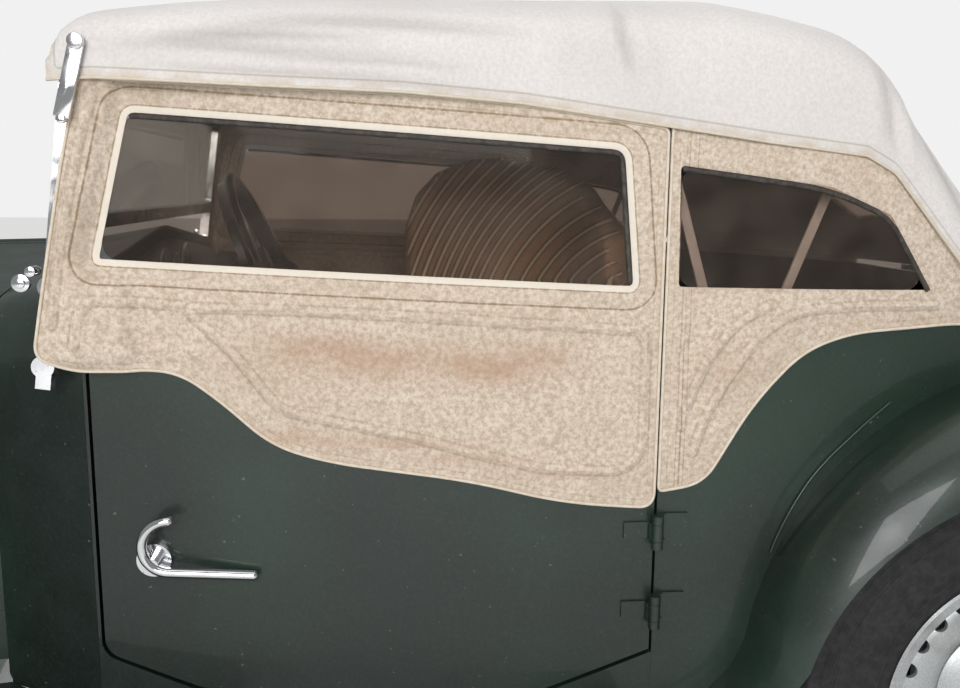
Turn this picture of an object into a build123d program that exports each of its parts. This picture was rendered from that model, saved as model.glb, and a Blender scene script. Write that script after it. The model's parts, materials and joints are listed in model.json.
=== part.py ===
"""Open two-seat roadster with its hood and side curtains up, in millimetres.

+X is forward, +Y is the car's left and +Z is up. The origin lies on the ground under the middle of the
car. Side profiles are drawn as (distance ahead of the rear axle, height above ground).
"""

from build123d import *
import os
from math import asin, atan2, cos, degrees, pi, radians, sin, sqrt

os.makedirs("parts", exist_ok=True)

# Layout
REAR_AXLE_X = -1030.0
WHEELBASE = 2388.0
TRACK_FRONT = 1203.0
TRACK_REAR = 1270.0
NOSE = 2871.5
TAIL = -811.5
WING_HALF_WIDTH = 744.5
RUN = 0.3
FLUSH = 0.02

# Wheels and tyres
TYRE_RADIUS = 332.0
TYRE_WIDTH = 142.0
RIM_FLANGE_RADIUS = 207.0
RIM_WELL_RADIUS = 176.0
RIM_WIDTH = 122.0
RIM_GAUGE = 4.0
DISC_OFFSET = 22.0
HOLE_COUNT = 24
HOLE_RADIUS = 11.0
HOLE_CIRCLE_RADIUS = 158.0
HUBCAP_RADIUS = 98.0
HUBCAP_HEIGHT = 34.0
DRUM_RADIUS = 116.0
DRUM_WIDTH = 44.0
STUB_RADIUS = 17.0
BORE_CLEARANCE = 0.05

# Kingpins
KINGPIN_Y = 545.0
KINGPIN_RADIUS = 15.0
UPPER_BALL_Z = 434.0
LOWER_BALL_Z = 226.0

# Body plan
BONNET_FRONT = 2440.0
BONNET_REAR = 1500.0
COWL_REAR = 1330.0
DOOR_FRONT = 1320.0
DOOR_REAR = 532.0
TUB_REAR = -330.0
NOSE_HALF = 205.0
SCUTTLE_HALF = 440.0
COWL_HALF = 540.0
DOOR_HALF = 592.0
TUB_HALF = 612.0
QUARTER_HALF = 588.0
TAIL_HALF = 470.0
PANEL_GAP = 4.0
TUB_WALL = 22.0
DOOR_WALL = 30.0
SKIN = 3.0
SILL_Z = 300.0
FLOOR_GAUGE = 4.0
LUGGAGE_Z = 482.0
HEELBOARD_X = 250.0
BONNET_EDGE_Z = 622.0
BONNET_SHOULDER_REAR = 880.0
BONNET_TOP_REAR = 968.0
BONNET_SHOULDER_FRONT = 850.0
BONNET_TOP_FRONT = 944.0
COWL_SHOULDER = 935.0
COWL_TOP = 992.0
SHOULDER_RADIUS = 110.0
CROWN_RADIUS = 420.0

# Door hinges
HINGE_X = 530.0
HINGE_Y = TUB_HALF + 14.0
HINGE_HEIGHTS = (465.0, 585.0)
HINGE_BARREL = 8.5
HINGE_PIN = 4.0

# Wings
FRONT_WING_INNER = 430.0
FRONT_WING_CREST = 742.0
FRONT_ARCH_RADIUS = 365.0
REAR_WING_CREST = 800.0
REAR_WING_CREST_X = -60.0
REAR_ARCH_RADIUS = 348.0
WING_GAUGE = 2.5
REAR_WING_BASE = 500.0
REAR_WING_WIDTH = WING_HALF_WIDTH - REAR_WING_BASE
WING_SHOULDER = 105.0 * REAR_WING_WIDTH / 244.5
WING_TAIL_X = 1510.0
REAR_WING_FRONT_X = 560.0
BOARD_Z = 303.0
BOARD_GAUGE = 18.0

WHEELHOUSE_Y = 545.0

# Chassis
RAIL_INNER = 300.0
RAIL_OUTER = 355.0
RAIL_DEPTH = 95.0
RAIL_TOP = 345.0
RAIL_KICK_TOP = 470.0
FLOOR_Z = RAIL_TOP + RUN
CROSS_TUBE_RADIUS = 28.0
SPRING_Y = 418.0
SHELL_REAR = 2452.0
SHELL_FRONT = 2590.0
SHELL_FOOT_Z = 395.0
SHELL_TOP = 976.0

# Windscreen
SCREEN_TOP_X = 1316.0
SCREEN_TOP_Z = 1226.0
SCREEN_RAKE = 7.94
SCREEN_LENGTH = 440.0
SCREEN_BASE = 226.0
SCREEN_HALF = 548.0
SCREEN_BAR = 22.0
SCREEN_DEPTH = 20.0
GLASS_GAUGE = 6.0

# Hood
HOOD_GAUGE = 4.0
HOOD_FRONT_X = 1336.0
HOOD_REAR_X = -255.0
HOOD_SECTIONS = (
    (HOOD_FRONT_X, 572.0, 1240.0, 1272.0),
    (880.0, 614.0, 1244.0, 1345.0),
    (450.0, 626.0, 1249.0, 1376.0),
    (130.0, 602.0, 1206.0, 1330.0),
    (HOOD_REAR_X, 494.0, 893.0, 940.0),
)
HOOD_EDGE = (
    (1420, 1196),
    (1280, 1201),
    (1083, 1193),
    (890, 1187),
    (731, 1175),
    (524, 1147),
    (396, 1130),
    (250, 1114),
    (204, 1091),
    (87, 965),
    (50, 904.4),
    (-370, 880.2),
)

# Side curtains
CURTAIN_OFFSET = 0.8
CURTAIN_GAUGE = 4.0
FRONT_CURTAIN = (
    (1300, 1192),
    (1083, 1185),
    (890, 1179),
    (731, 1167),
    (534, 1139),
    (534, 618),
    (667, 629),
    (796, 662),
    (989, 688),
    (1069, 711),
    (1140, 775),
    (1197, 817),
    (1335, 822),
    (1350, 856),
)
FRONT_WINDOW = ((1246, 1160), (593, 1117), (575, 935), (1296, 967))
REAR_CURTAIN = (
    (528, 1158),
    (396, 1142),
    (250, 1126),
    (204, 1093),
    (128, 1006),
    (84, 959),
    (46, 900),
    (42, 873),
    (88, 876),
    (253, 867),
    (326, 842),
    (395, 770),
    (463, 653),
    (528, 642),
)
REAR_WINDOW = ((515, 1098), (299, 1071), (205, 1033), (130, 926), (511, 934))

# Cockpit
STEERING_X = 1170.0
STEERING_Y = -285.0
STEERING_Z = 905.0
STEERING_RADIUS = 205.0
STEERING_TILT = 23.0
COLUMN_RADIUS = 16.0
COLUMN_SLEEVE = 21.0

SIDE = Plane(origin=(REAR_AXLE_X, 0, 0), x_dir=(1, 0, 0), z_dir=(0, -1, 0))
PLAN = Plane(origin=(REAR_AXLE_X, 0, 0), x_dir=(1, 0, 0), z_dir=(0, 0, 1))
FRONT_X = REAR_AXLE_X + WHEELBASE
COLUMN_AXIS = Vector(-cos(radians(STEERING_TILT)), 0, sin(radians(STEERING_TILT)))
STEERING_CENTRE = Vector(REAR_AXLE_X + STEERING_X, STEERING_Y, STEERING_Z)
wheel_face = Plane(origin=STEERING_CENTRE, x_dir=(0, 1, 0), z_dir=COLUMN_AXIS)


def station(x):
    """Return the cross-section plane, x metres ahead of the rear axle, drawn as (left, up)."""
    return Plane(origin=(REAR_AXLE_X + x, 0, 0), x_dir=(0, 1, 0), z_dir=(1, 0, 0))


def hoop(x, half, foot, shoulder, top, inset=0.0, radius=SHOULDER_RADIUS):
    """Draw one closed arched section of the scuttle, bonnet or hood."""
    with BuildSketch(station(x)) as section:
        with BuildLine():
            FilletPolyline(
                (-half + inset, foot),
                (-half + inset, shoulder - inset * 0.6),
                (0, top - inset),
                (half - inset, shoulder - inset * 0.6),
                (half - inset, foot),
                radius=[radius - inset, CROWN_RADIUS, radius - inset],
            )
            Line((half - inset, foot), (-half + inset, foot))
        make_face()
    return section.sketch


def body_plan(grow, front, rear):
    """Draw the closed plan of the body, grown or shrunk, cut square at two stations."""
    with BuildSketch(PLAN) as sketch:
        with BuildLine():
            Line((BONNET_REAR, 0), (BONNET_REAR, SCUTTLE_HALF + grow))
            ThreePointArc(
                (BONNET_REAR, SCUTTLE_HALF + grow),
                (1415, 495 + grow),
                (COWL_REAR, COWL_HALF + grow),
            )
            ThreePointArc(
                (COWL_REAR, COWL_HALF + grow),
                (950, DOOR_HALF + grow),
                (530, TUB_HALF + grow),
            )
            ThreePointArc(
                (530, TUB_HALF + grow),
                (120, QUARTER_HALF + grow),
                (TUB_REAR - grow, TAIL_HALF + grow),
            )
            Line(
                (TUB_REAR - grow, TAIL_HALF + grow),
                (TUB_REAR - grow, 0),
            )
            Line((TUB_REAR - grow, 0), (BONNET_REAR, 0))
        make_face()
        mirror(about=Plane.XZ)
        with Locations(((front + rear) / 2, 0)):
            Rectangle(front - rear, 2000, mode=Mode.INTERSECT)
    return sketch.sketch_local


def body_prism(grow, height):
    """Raise the grown body plan from the ground."""
    with BuildPart() as prism:
        with BuildSketch(PLAN):
            add(body_plan(grow, BONNET_REAR, TUB_REAR))
        extrude(amount=height)
    return prism.part


# Chassis frame
with BuildPart() as chassis_frame:
    with BuildSketch(SIDE) as rail_side:
        with BuildLine():
            FilletPolyline(
                (2690, RAIL_TOP - RAIL_DEPTH + 20),
                (2690, RAIL_TOP),
                (236, RAIL_TOP),
                (130, RAIL_KICK_TOP),
                (-130, RAIL_KICK_TOP),
                (-240, 400),
                (-560, 400),
                (-560, 330),
                (-230, 330),
                (-140, RAIL_KICK_TOP - 82),
                (140, RAIL_KICK_TOP - 82),
                (262, RAIL_TOP - RAIL_DEPTH),
                (2450, RAIL_TOP - RAIL_DEPTH),
                radius=18,
                close=True,
            )
        make_face()
    extrude(amount=-(RAIL_OUTER - RAIL_INNER), mode=Mode.ADD)
    rail_shift = chassis_frame.part.moved(Location((0, RAIL_INNER, 0)))
with BuildPart() as chassis_frame:
    add(rail_shift)
    mirror(rail_shift, about=Plane.XZ)
    for cross_x, cross_z in ((2388, 298), (1500, 284), (900, 290), (330, 288), (-455, 365)):
        with Locations((REAR_AXLE_X + cross_x, 0, cross_z)):
            Cylinder(CROSS_TUBE_RADIUS, 2 * RAIL_INNER + 20, rotation=(90, 0, 0))
    with Locations((REAR_AXLE_X + 1980, 0, 324.7)):
        Box(60, 2 * RAIL_INNER + 20, 30)
    with Locations((REAR_AXLE_X + 2520, 0, 320)):
        Box(50, 2 * RAIL_INNER + 20, 40)
    with Locations((REAR_AXLE_X + 2520, 0, 362.35)):
        Box(50, 120, 64.7)
    for side in (-1, 1):
        for spring_x, spring_z in ((480, 333), (-480, 340)):
            with Locations((REAR_AXLE_X + spring_x, side * (350 + SPRING_Y - 22 - RUN) / 2, spring_z)):
                Cylinder(8, SPRING_Y - 22 - RUN - 350, rotation=(90, 0, 0))
        for outrigger_x in (700, 1200):
            with Locations((REAR_AXLE_X + outrigger_x, side * 515, BOARD_Z - BOARD_GAUGE - 9)):
                Box(30, 340, 18)
chassis_frame.part.label = "chassis_frame"
export_step(chassis_frame.part, "parts/chassis_frame.step")

# Floor, tunnel and luggage floor
with BuildPart() as wheelhouse:
    with BuildSketch(Plane(origin=(REAR_AXLE_X, WHEELHOUSE_Y, 0), x_dir=(1, 0, 0), z_dir=(0, -1, 0))):
        with Locations((0, TYRE_RADIUS)):
            Circle(REAR_ARCH_RADIUS + 6)
        with Locations((0, LUGGAGE_Z - 300)):
            Rectangle(900, 600, mode=Mode.SUBTRACT)
    extrude(amount=3)
    with BuildSketch(Plane(origin=(REAR_AXLE_X, WHEELHOUSE_Y - 1, 0), x_dir=(1, 0, 0), z_dir=(0, -1, 0))):
        with Locations((0, TYRE_RADIUS)):
            Circle(REAR_ARCH_RADIUS + 6)
            Circle(REAR_ARCH_RADIUS + 3, mode=Mode.SUBTRACT)
        with Locations((0, LUGGAGE_Z - 300)):
            Rectangle(900, 600, mode=Mode.SUBTRACT)
    extrude(amount=-30)
    add(body_prism(-TUB_WALL - RUN, 1200), mode=Mode.INTERSECT)
with BuildPart() as floor_pan:
    with BuildSketch(PLAN.offset(FLOOR_Z)):
        add(body_plan(-TUB_WALL - 14, BONNET_REAR - 9 - RUN, HEELBOARD_X))
    extrude(amount=FLOOR_GAUGE)
    with BuildSketch(PLAN.offset(LUGGAGE_Z)):
        add(body_plan(-TUB_WALL - RUN, HEELBOARD_X + FLOOR_GAUGE, TUB_REAR + TUB_WALL + RUN))
    extrude(amount=FLOOR_GAUGE)
    with BuildSketch(SIDE):
        with Locations((HEELBOARD_X + FLOOR_GAUGE / 2, (FLOOR_Z + LUGGAGE_Z) / 2 + FLOOR_GAUGE / 2)):
            Rectangle(FLOOR_GAUGE, LUGGAGE_Z - FLOOR_Z + FLOOR_GAUGE)
    extrude(amount=500, both=True)
    for side in (-1, 1):
        with Locations((REAR_AXLE_X, side * (WHEELHOUSE_Y + 100), TYRE_RADIUS)):
            Cylinder(REAR_ARCH_RADIUS + 4, 200, rotation=(90, 0, 0), mode=Mode.SUBTRACT)
    add(wheelhouse.part)
    mirror(wheelhouse.part, about=Plane.XZ)
    with BuildSketch(station(HEELBOARD_X)):
        with BuildLine():
            FilletPolyline(
                (-95, FLOOR_Z), (-95, 470), (-60, 515), (60, 515), (95, 470), (95, FLOOR_Z), radius=25
            )
            Line((95, FLOOR_Z), (-95, FLOOR_Z))
        make_face()
    extrude(amount=BONNET_REAR - 9 - RUN - HEELBOARD_X)
    with BuildSketch(station(HEELBOARD_X)):
        with BuildLine():
            FilletPolyline((-91, 300), (-91, 468), (-58, 511), (58, 511), (91, 468), (91, 300), radius=21)
            Line((91, 300), (-91, 300))
        make_face()
    extrude(amount=BONNET_REAR - HEELBOARD_X, mode=Mode.SUBTRACT)
floor_pan.part.label = "floor_pan"
export_step(floor_pan.part, "parts/floor_pan.step")

HINGE_REAR = (BONNET_REAR - 3, 0, BONNET_TOP_REAR - 8 - 0.5 - SKIN / 2)
HINGE_FRONT = (SHELL_REAR - RUN, 0, BONNET_TOP_FRONT - 8 - 0.5 - SKIN / 2)
HINGE_RUN = Vector(HINGE_FRONT[0] - HINGE_REAR[0], 0, HINGE_FRONT[2] - HINGE_REAR[2])
HINGE_PLANE = Plane(
    origin=(REAR_AXLE_X + HINGE_REAR[0], 0, HINGE_REAR[2]),
    x_dir=HINGE_RUN.cross(Vector(0, 1, 0)),
    z_dir=HINGE_RUN,
)
BONNET_ROD = 4.0
BONNET_BARREL = 8.0

# Scuttle with its bulkhead
with BuildPart() as scuttle:
    add(hoop(BONNET_REAR - 3, SCUTTLE_HALF, SILL_Z, BONNET_SHOULDER_REAR, BONNET_TOP_REAR))
    add(hoop(COWL_REAR, COWL_HALF, SILL_Z, COWL_SHOULDER, COWL_TOP))
    loft(ruled=True)
    add(
        hoop(
            BONNET_REAR - 3 - 6,
            SCUTTLE_HALF,
            SILL_Z - 5,
            BONNET_SHOULDER_REAR,
            BONNET_TOP_REAR,
            inset=SKIN + 3,
        )
    )
    add(hoop(COWL_REAR - 1, COWL_HALF, SILL_Z - 5, COWL_SHOULDER, COWL_TOP, inset=SKIN + 3))
    loft(ruled=True, mode=Mode.SUBTRACT)
    with Locations((REAR_AXLE_X + BONNET_REAR - 3, 0, 300)):
        Box(60, 204, 480, mode=Mode.SUBTRACT)
    with Locations((REAR_AXLE_X + BONNET_REAR - 3, 0, FLOOR_Z - 100)):
        Box(60, 2 * RAIL_OUTER + 20, 200, mode=Mode.SUBTRACT)
    with BuildSketch(wheel_face.offset(-100)):
        Circle(COLUMN_RADIUS + RUN)
    extrude(amount=-500, mode=Mode.SUBTRACT)
    with BuildSketch(HINGE_PLANE.offset(-3)):
        Circle(BONNET_ROD)
    extrude(amount=HINGE_RUN.length + 3)
scuttle.part.label = "scuttle"
export_step(scuttle.part, "parts/scuttle.step")

# Rear tub
with BuildPart() as rear_tub:
    with BuildSketch(PLAN.offset(SILL_Z)):
        add(body_plan(0, DOOR_REAR - PANEL_GAP, TUB_REAR))
    extrude(amount=620)
    with BuildSketch(PLAN.offset(SILL_Z - 1)):
        add(body_plan(-TUB_WALL, DOOR_REAR + 10, TUB_REAR))
    extrude(amount=640, mode=Mode.SUBTRACT)
    with BuildSketch(SIDE):
        with BuildLine():
            FilletPolyline(
                (560, 683),
                (512, 683),
                (482, 770),
                (430, 852),
                (343, 906),
                (88, 906),
                (-360, 880),
                (-360, 1000),
                (560, 1000),
                radius=[4, 40, 60, 60, 60, 4, 4],
            )
            Line((560, 1000), (560, 683))
        make_face()
    extrude(amount=800, both=True, mode=Mode.SUBTRACT)
    for side in (-1, 1):
        with Locations((REAR_AXLE_X, side * (WHEELHOUSE_Y + 95), TYRE_RADIUS)):
            Cylinder(REAR_ARCH_RADIUS + 10, 200, rotation=(90, 0, 0), mode=Mode.SUBTRACT)
    with Locations((REAR_AXLE_X, 0, 360)):
        Box(100, 2 * 580, 160, mode=Mode.SUBTRACT)
    with Locations((REAR_AXLE_X + TUB_REAR, 0, 345)):
        Box(70, 2 * 446, 120, mode=Mode.SUBTRACT)
    for hinge_z in HINGE_HEIGHTS:
        for side in (-1, 1):
            for barrel_z in (hinge_z - 18.6, hinge_z + 18.6):
                with Locations((REAR_AXLE_X + HINGE_X, side * HINGE_Y, barrel_z)):
                    Cylinder(HINGE_BARREL, 12)
            with Locations((REAR_AXLE_X + HINGE_X, side * HINGE_Y, hinge_z)):
                Cylinder(HINGE_PIN, 49)
            with Locations((REAR_AXLE_X + HINGE_X - 25, side * (TUB_HALF + 1.5), hinge_z)):
                Box(42, 7, 49.2)
            with Locations((REAR_AXLE_X + HINGE_X - 7, side * (TUB_HALF + 4), hinge_z - 18.6)):
                Box(12, 12, 12)
            with Locations((REAR_AXLE_X + HINGE_X - 7, side * (TUB_HALF + 4), hinge_z + 18.6)):
                Box(12, 12, 12)
rear_tub.part.label = "rear_tub"
export_step(rear_tub.part, "parts/rear_tub.step")

# Doors
DOOR_SIDE = (
    (DOOR_REAR - 30, 678),
    (668, 690),
    (985, 735),
    (1060, 770),
    (1130, 868),
    (1180, 898),
    (DOOR_FRONT, 906),
    (DOOR_FRONT, 395),
    (1180, 345),
    (700, 338),
    (DOOR_REAR - 30, 412),
)
with BuildPart() as door_left:
    with BuildSketch(PLAN.offset(SILL_Z)):
        add(body_plan(0, DOOR_FRONT, DOOR_REAR))
    extrude(amount=640)
    with BuildSketch(PLAN.offset(SILL_Z - 1)):
        add(body_plan(-DOOR_WALL, DOOR_FRONT + 20, DOOR_REAR - 20))
    extrude(amount=660, mode=Mode.SUBTRACT)
    with BuildSketch(SIDE):
        with BuildLine():
            FilletPolyline(*DOOR_SIDE, radius=[8, 120, 60, 60, 50, 60, 8, 30, 60, 60, 30], close=True)
        make_face()
    extrude(amount=-800, mode=Mode.INTERSECT)
    for hinge_z in HINGE_HEIGHTS:
        with BuildSketch(PLAN.offset(hinge_z - 12)):
            with Locations((HINGE_X, HINGE_Y)):
                Circle(HINGE_BARREL)
            with BuildLine():
                Polyline(
                    (HINGE_X + 1, HINGE_Y - 4),
                    (HINGE_X + 10, HINGE_Y - 4),
                    (HINGE_X + 12, TUB_HALF + 4),
                    (HINGE_X + 46, TUB_HALF + 3.5),
                    (HINGE_X + 46, TUB_HALF - 5),
                    (HINGE_X + 4, TUB_HALF - 5),
                    close=True,
                )
            make_face()
            with Locations((HINGE_X, HINGE_Y)):
                Circle(HINGE_PIN + BORE_CLEARANCE, mode=Mode.SUBTRACT)
        extrude(amount=24)
with BuildPart() as door_right:
    mirror(door_left.part, about=Plane.XZ)
for door, side_name in ((door_left, "left"), (door_right, "right")):
    door.part.label = "door_" + side_name
    export_step(door.part, "parts/door_" + side_name + ".step")

# Sills that close the body below the doors
with BuildPart() as sills:
    with BuildSketch(PLAN.offset(SILL_Z)):
        add(body_plan(0, COWL_REAR - RUN, DOOR_REAR - PANEL_GAP + RUN))
    extrude(amount=640)
    with BuildSketch(PLAN.offset(SILL_Z - 1)):
        add(body_plan(-DOOR_WALL, COWL_REAR + 20, DOOR_REAR - 20))
    extrude(amount=660, mode=Mode.SUBTRACT)
    with BuildSketch(SIDE):
        with BuildLine():
            FilletPolyline(
                (DOOR_REAR - 30, 405.7),
                (699, 332),
                (1182, 339),
                (DOOR_FRONT + 5, 391),
                (DOOR_FRONT + 5, 898),
                (DOOR_FRONT + 25, 898),
                (DOOR_FRONT + 25, 1000),
                (DOOR_REAR - 30, 1000),
                radius=[4, 60, 60, 30, 2, 2, 4, 4],
                close=True,
            )
        make_face()
    extrude(amount=800, both=True, mode=Mode.SUBTRACT)
sills.part.label = "sills"
export_step(sills.part, "parts/sills.step")


# Bonnet halves about the centre hinge
def bonnet_band(x, half, shoulder, top, width):
    """Draw the thin closed section of the left bonnet half at one station."""
    with BuildSketch(station(x)) as band:
        with BuildLine():
            outer = FilletPolyline(
                (width, top - 0.5),
                (half, shoulder),
                (half, BONNET_EDGE_Z),
                radius=SHOULDER_RADIUS,
            )
            inner = FilletPolyline(
                (width, top - 0.5 - SKIN),
                (half - SKIN, shoulder - SKIN * 0.8),
                (half - SKIN, BONNET_EDGE_Z),
                radius=SHOULDER_RADIUS - SKIN,
            )
            Line(outer @ 0, inner @ 0)
            Line(outer @ 1, inner @ 1)
        make_face()
    return band.sketch


def along_hinge(low, high, radius):
    """Make a round bar on the bonnet's centre hinge between two distances from its rear end."""
    with BuildPart() as bar:
        with BuildSketch(HINGE_PLANE.offset(low)):
            Circle(radius)
        extrude(amount=high - low)
    return bar.part


LOUVRE_COUNT = 15
LOUVRE_PITCH = 44.0
LOUVRE_FIRST = 1640.0
LOUVRE_Z = 652.0
LOUVRE_HEIGHT = 112.0
BONNET_TAPER = (NOSE_HALF - SCUTTLE_HALF) / (BONNET_FRONT - BONNET_REAR - 1)
BARREL_ENDS = (8, 160, 312, 464, 616, 768, 932)
with BuildPart() as bonnet_left:
    add(bonnet_band(BONNET_REAR + 1, SCUTTLE_HALF, BONNET_SHOULDER_REAR, BONNET_TOP_REAR - 8, 10))
    add(bonnet_band(BONNET_FRONT, NOSE_HALF, BONNET_SHOULDER_FRONT, BONNET_TOP_FRONT - 8, 10))
    loft(ruled=True)
    for i in range(LOUVRE_COUNT):
        louvre_x = LOUVRE_FIRST + i * LOUVRE_PITCH
        louvre_y = SCUTTLE_HALF + BONNET_TAPER * (louvre_x - BONNET_REAR - 1)
        louvre_foot = Plane(
            origin=(REAR_AXLE_X + louvre_x, louvre_y, LOUVRE_Z), x_dir=(1, BONNET_TAPER, 0), z_dir=(0, 0, 1)
        )
        with BuildSketch(louvre_foot):
            Polygon((13, -0.5), (-11, 7), (-11, -0.5), align=None)
        extrude(amount=LOUVRE_HEIGHT)
        with BuildSketch(louvre_foot.offset(1.5)):
            Polygon((7.5, -4), (7.5, 0.3), (-12, 5.9), (-12, 0.4), (-8, 0.4), (-8, -4), align=None)
        extrude(amount=LOUVRE_HEIGHT - 3, mode=Mode.SUBTRACT)
BONNET_BANDS = bonnet_left.part
BONNET_HALVES = []
for side, first in ((1, 0), (-1, 1)):
    with BuildPart() as bonnet_half:
        if side == 1:
            add(BONNET_BANDS)
        else:
            mirror(BONNET_BANDS, about=Plane.XZ)
        for low, high in tuple(zip(BARREL_ENDS, BARREL_ENDS[1:]))[first::2]:
            add(along_hinge(low + 1, high - 1, BONNET_BARREL))
            with BuildSketch(HINGE_PLANE.offset(low + 1)):
                with Locations((0, -side * 11)):
                    Rectangle(2.6, 10)
            extrude(amount=high - low - 2)
        add(along_hinge(-20, 980, BONNET_ROD + BORE_CLEARANCE), mode=Mode.SUBTRACT)
    BONNET_HALVES.append(bonnet_half)
bonnet_left, bonnet_right = BONNET_HALVES
for half, side_name in ((bonnet_left, "left"), (bonnet_right, "right")):
    half.part.label = "bonnet_" + side_name
    export_step(half.part, "parts/bonnet_" + side_name + ".step")

# Wings
ARC_SUM = (FRONT_WING_CREST - BOARD_Z) / 2 + (2400 - WING_TAIL_X) ** 2 / (2 * (FRONT_WING_CREST - BOARD_Z))
CREST_ARC = 520.0
SWEEP_ARC = ARC_SUM - CREST_ARC
SWEEP_X = 2400 + (WING_TAIL_X - 2400) * CREST_ARC / ARC_SUM
SWEEP_DROP = BOARD_Z + SWEEP_ARC - FRONT_WING_CREST + CREST_ARC
SWEEP_Z = (FRONT_WING_CREST - CREST_ARC) + SWEEP_DROP * CREST_ARC / ARC_SUM
NOSE_ARC = 380.0
FRONT_WING_WIDTH = WING_HALF_WIDTH - FRONT_WING_INNER
with BuildPart() as front_wing:
    with BuildSketch(SIDE) as wing_side:
        with BuildLine():
            nose = CenterArc((2400, FRONT_WING_CREST - NOSE_ARC), NOSE_ARC, 0, 90)
            crest = RadiusArc((2400, FRONT_WING_CREST), (SWEEP_X, SWEEP_Z), -CREST_ARC)
            sweep_down = RadiusArc((SWEEP_X, SWEEP_Z), (WING_TAIL_X, BOARD_Z), SWEEP_ARC)
            Polyline((WING_TAIL_X, BOARD_Z), (WING_TAIL_X, 0), (2400 + NOSE_ARC, 0), nose @ 0)
        make_face()
    extrude(amount=-FRONT_WING_WIDTH)
    top_edges = front_wing.edges().filter_by(lambda e: e.center().Z > 200).filter_by(GeomType.CIRCLE)
    outer_edges = top_edges.filter_by(lambda e: e.center().Y > FRONT_WING_WIDTH / 2)
    inner_edges = top_edges.filter_by(lambda e: e.center().Y < FRONT_WING_WIDTH / 2)
    fillet(outer_edges, radius=WING_SHOULDER)
    fillet(inner_edges, radius=70)
    open_faces = front_wing.faces().filter_by(
        lambda f: abs(f.center().Z) < 1 or abs(f.center().X - REAR_AXLE_X - WING_TAIL_X) < 0.5
    )
    offset(amount=-WING_GAUGE, openings=open_faces)
with BuildPart() as front_wings:
    add(front_wing.part.moved(Location((0, FRONT_WING_INNER, 0))))
    with BuildSketch(SIDE):
        with BuildLine():
            arch = ThreePointArc(
                (FRONT_X - REAR_AXLE_X + 362, TYRE_RADIUS + 46),
                (FRONT_X - REAR_AXLE_X, TYRE_RADIUS + FRONT_ARCH_RADIUS),
                (FRONT_X - REAR_AXLE_X - 352, TYRE_RADIUS + 96),
            )
            lip = ThreePointArc(arch @ 1, (1800, 345), (WING_TAIL_X - 1, BOARD_Z - BOARD_GAUGE))
            Polyline(lip @ 1, (WING_TAIL_X - 1, -10), (2800, -10), (2800, TYRE_RADIUS + 46), arch @ 0)
        make_face()
    extrude(amount=900, both=True, mode=Mode.SUBTRACT)
    mirror(about=Plane.XZ)
front_wings.part.label = "front_wings"
export_step(front_wings.part, "parts/front_wings.step")

REAR_ARC = 450.0
REAR_SWEEP = 150.0
REAR_TAIL_ARC = 420.0
REAR_DROP = BOARD_Z + REAR_SWEEP - REAR_WING_CREST + REAR_ARC
REAR_SWEEP_X = REAR_WING_CREST_X + sqrt((REAR_ARC + REAR_SWEEP) ** 2 - REAR_DROP**2)
REAR_TANGENT = (
    REAR_WING_CREST_X + (REAR_SWEEP_X - REAR_WING_CREST_X) * REAR_ARC / (REAR_ARC + REAR_SWEEP),
    REAR_WING_CREST - REAR_ARC + REAR_DROP * REAR_ARC / (REAR_ARC + REAR_SWEEP),
)
with BuildPart() as rear_wing:
    with BuildSketch(SIDE):
        with BuildLine():
            tail = CenterArc((REAR_WING_CREST_X, REAR_WING_CREST - REAR_TAIL_ARC), REAR_TAIL_ARC, 90, 90)
            crown = RadiusArc((REAR_WING_CREST_X, REAR_WING_CREST), REAR_TANGENT, REAR_ARC)
            foot = RadiusArc(REAR_TANGENT, (REAR_SWEEP_X, BOARD_Z), -REAR_SWEEP)
            Polyline(
                foot @ 1,
                (REAR_WING_FRONT_X, BOARD_Z),
                (REAR_WING_FRONT_X, 0),
                (REAR_WING_CREST_X - REAR_TAIL_ARC, 0),
                tail @ 1,
            )
        make_face()
    extrude(amount=-REAR_WING_WIDTH)
    top_edges = rear_wing.edges().filter_by(lambda e: e.center().Z > 200)
    top_edges = top_edges.filter_by(lambda e: e.center().Y > REAR_WING_WIDTH * 0.8)
    top_edges = top_edges.filter_by(lambda e: abs(e.center().X - REAR_AXLE_X - REAR_WING_FRONT_X) > 0.5)
    fillet(top_edges, radius=WING_SHOULDER)
    open_faces = rear_wing.faces().filter_by(
        lambda f: abs(f.center().Z) < 1
        or f.center().Y < 0.5
        or abs(f.center().X - REAR_AXLE_X - REAR_WING_FRONT_X) < 0.5
    )
    offset(amount=-WING_GAUGE, openings=open_faces)
with BuildPart() as rear_wings:
    add(rear_wing.part.moved(Location((0, REAR_WING_BASE, 0))))
    with BuildSketch(SIDE):
        with BuildLine():
            arch = ThreePointArc((338, 415), (0, TYRE_RADIUS + REAR_ARCH_RADIUS), (-342, 390))
            lip = ThreePointArc((REAR_WING_FRONT_X + 1, BOARD_Z - BOARD_GAUGE), (430, 315), arch @ 0)
            Polyline(arch @ 1, (-500, 390), (-500, -10), (REAR_WING_FRONT_X + 1, -10), lip @ 0)
        make_face()
    extrude(amount=900, both=True, mode=Mode.SUBTRACT)
    with BuildSketch(PLAN):
        add(body_plan(RUN, DOOR_REAR + 40, TUB_REAR))
    extrude(amount=1200, mode=Mode.SUBTRACT)
    mirror(about=Plane.XZ)
rear_wings.part.label = "rear_wings"
export_step(rear_wings.part, "parts/rear_wings.step")

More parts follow.
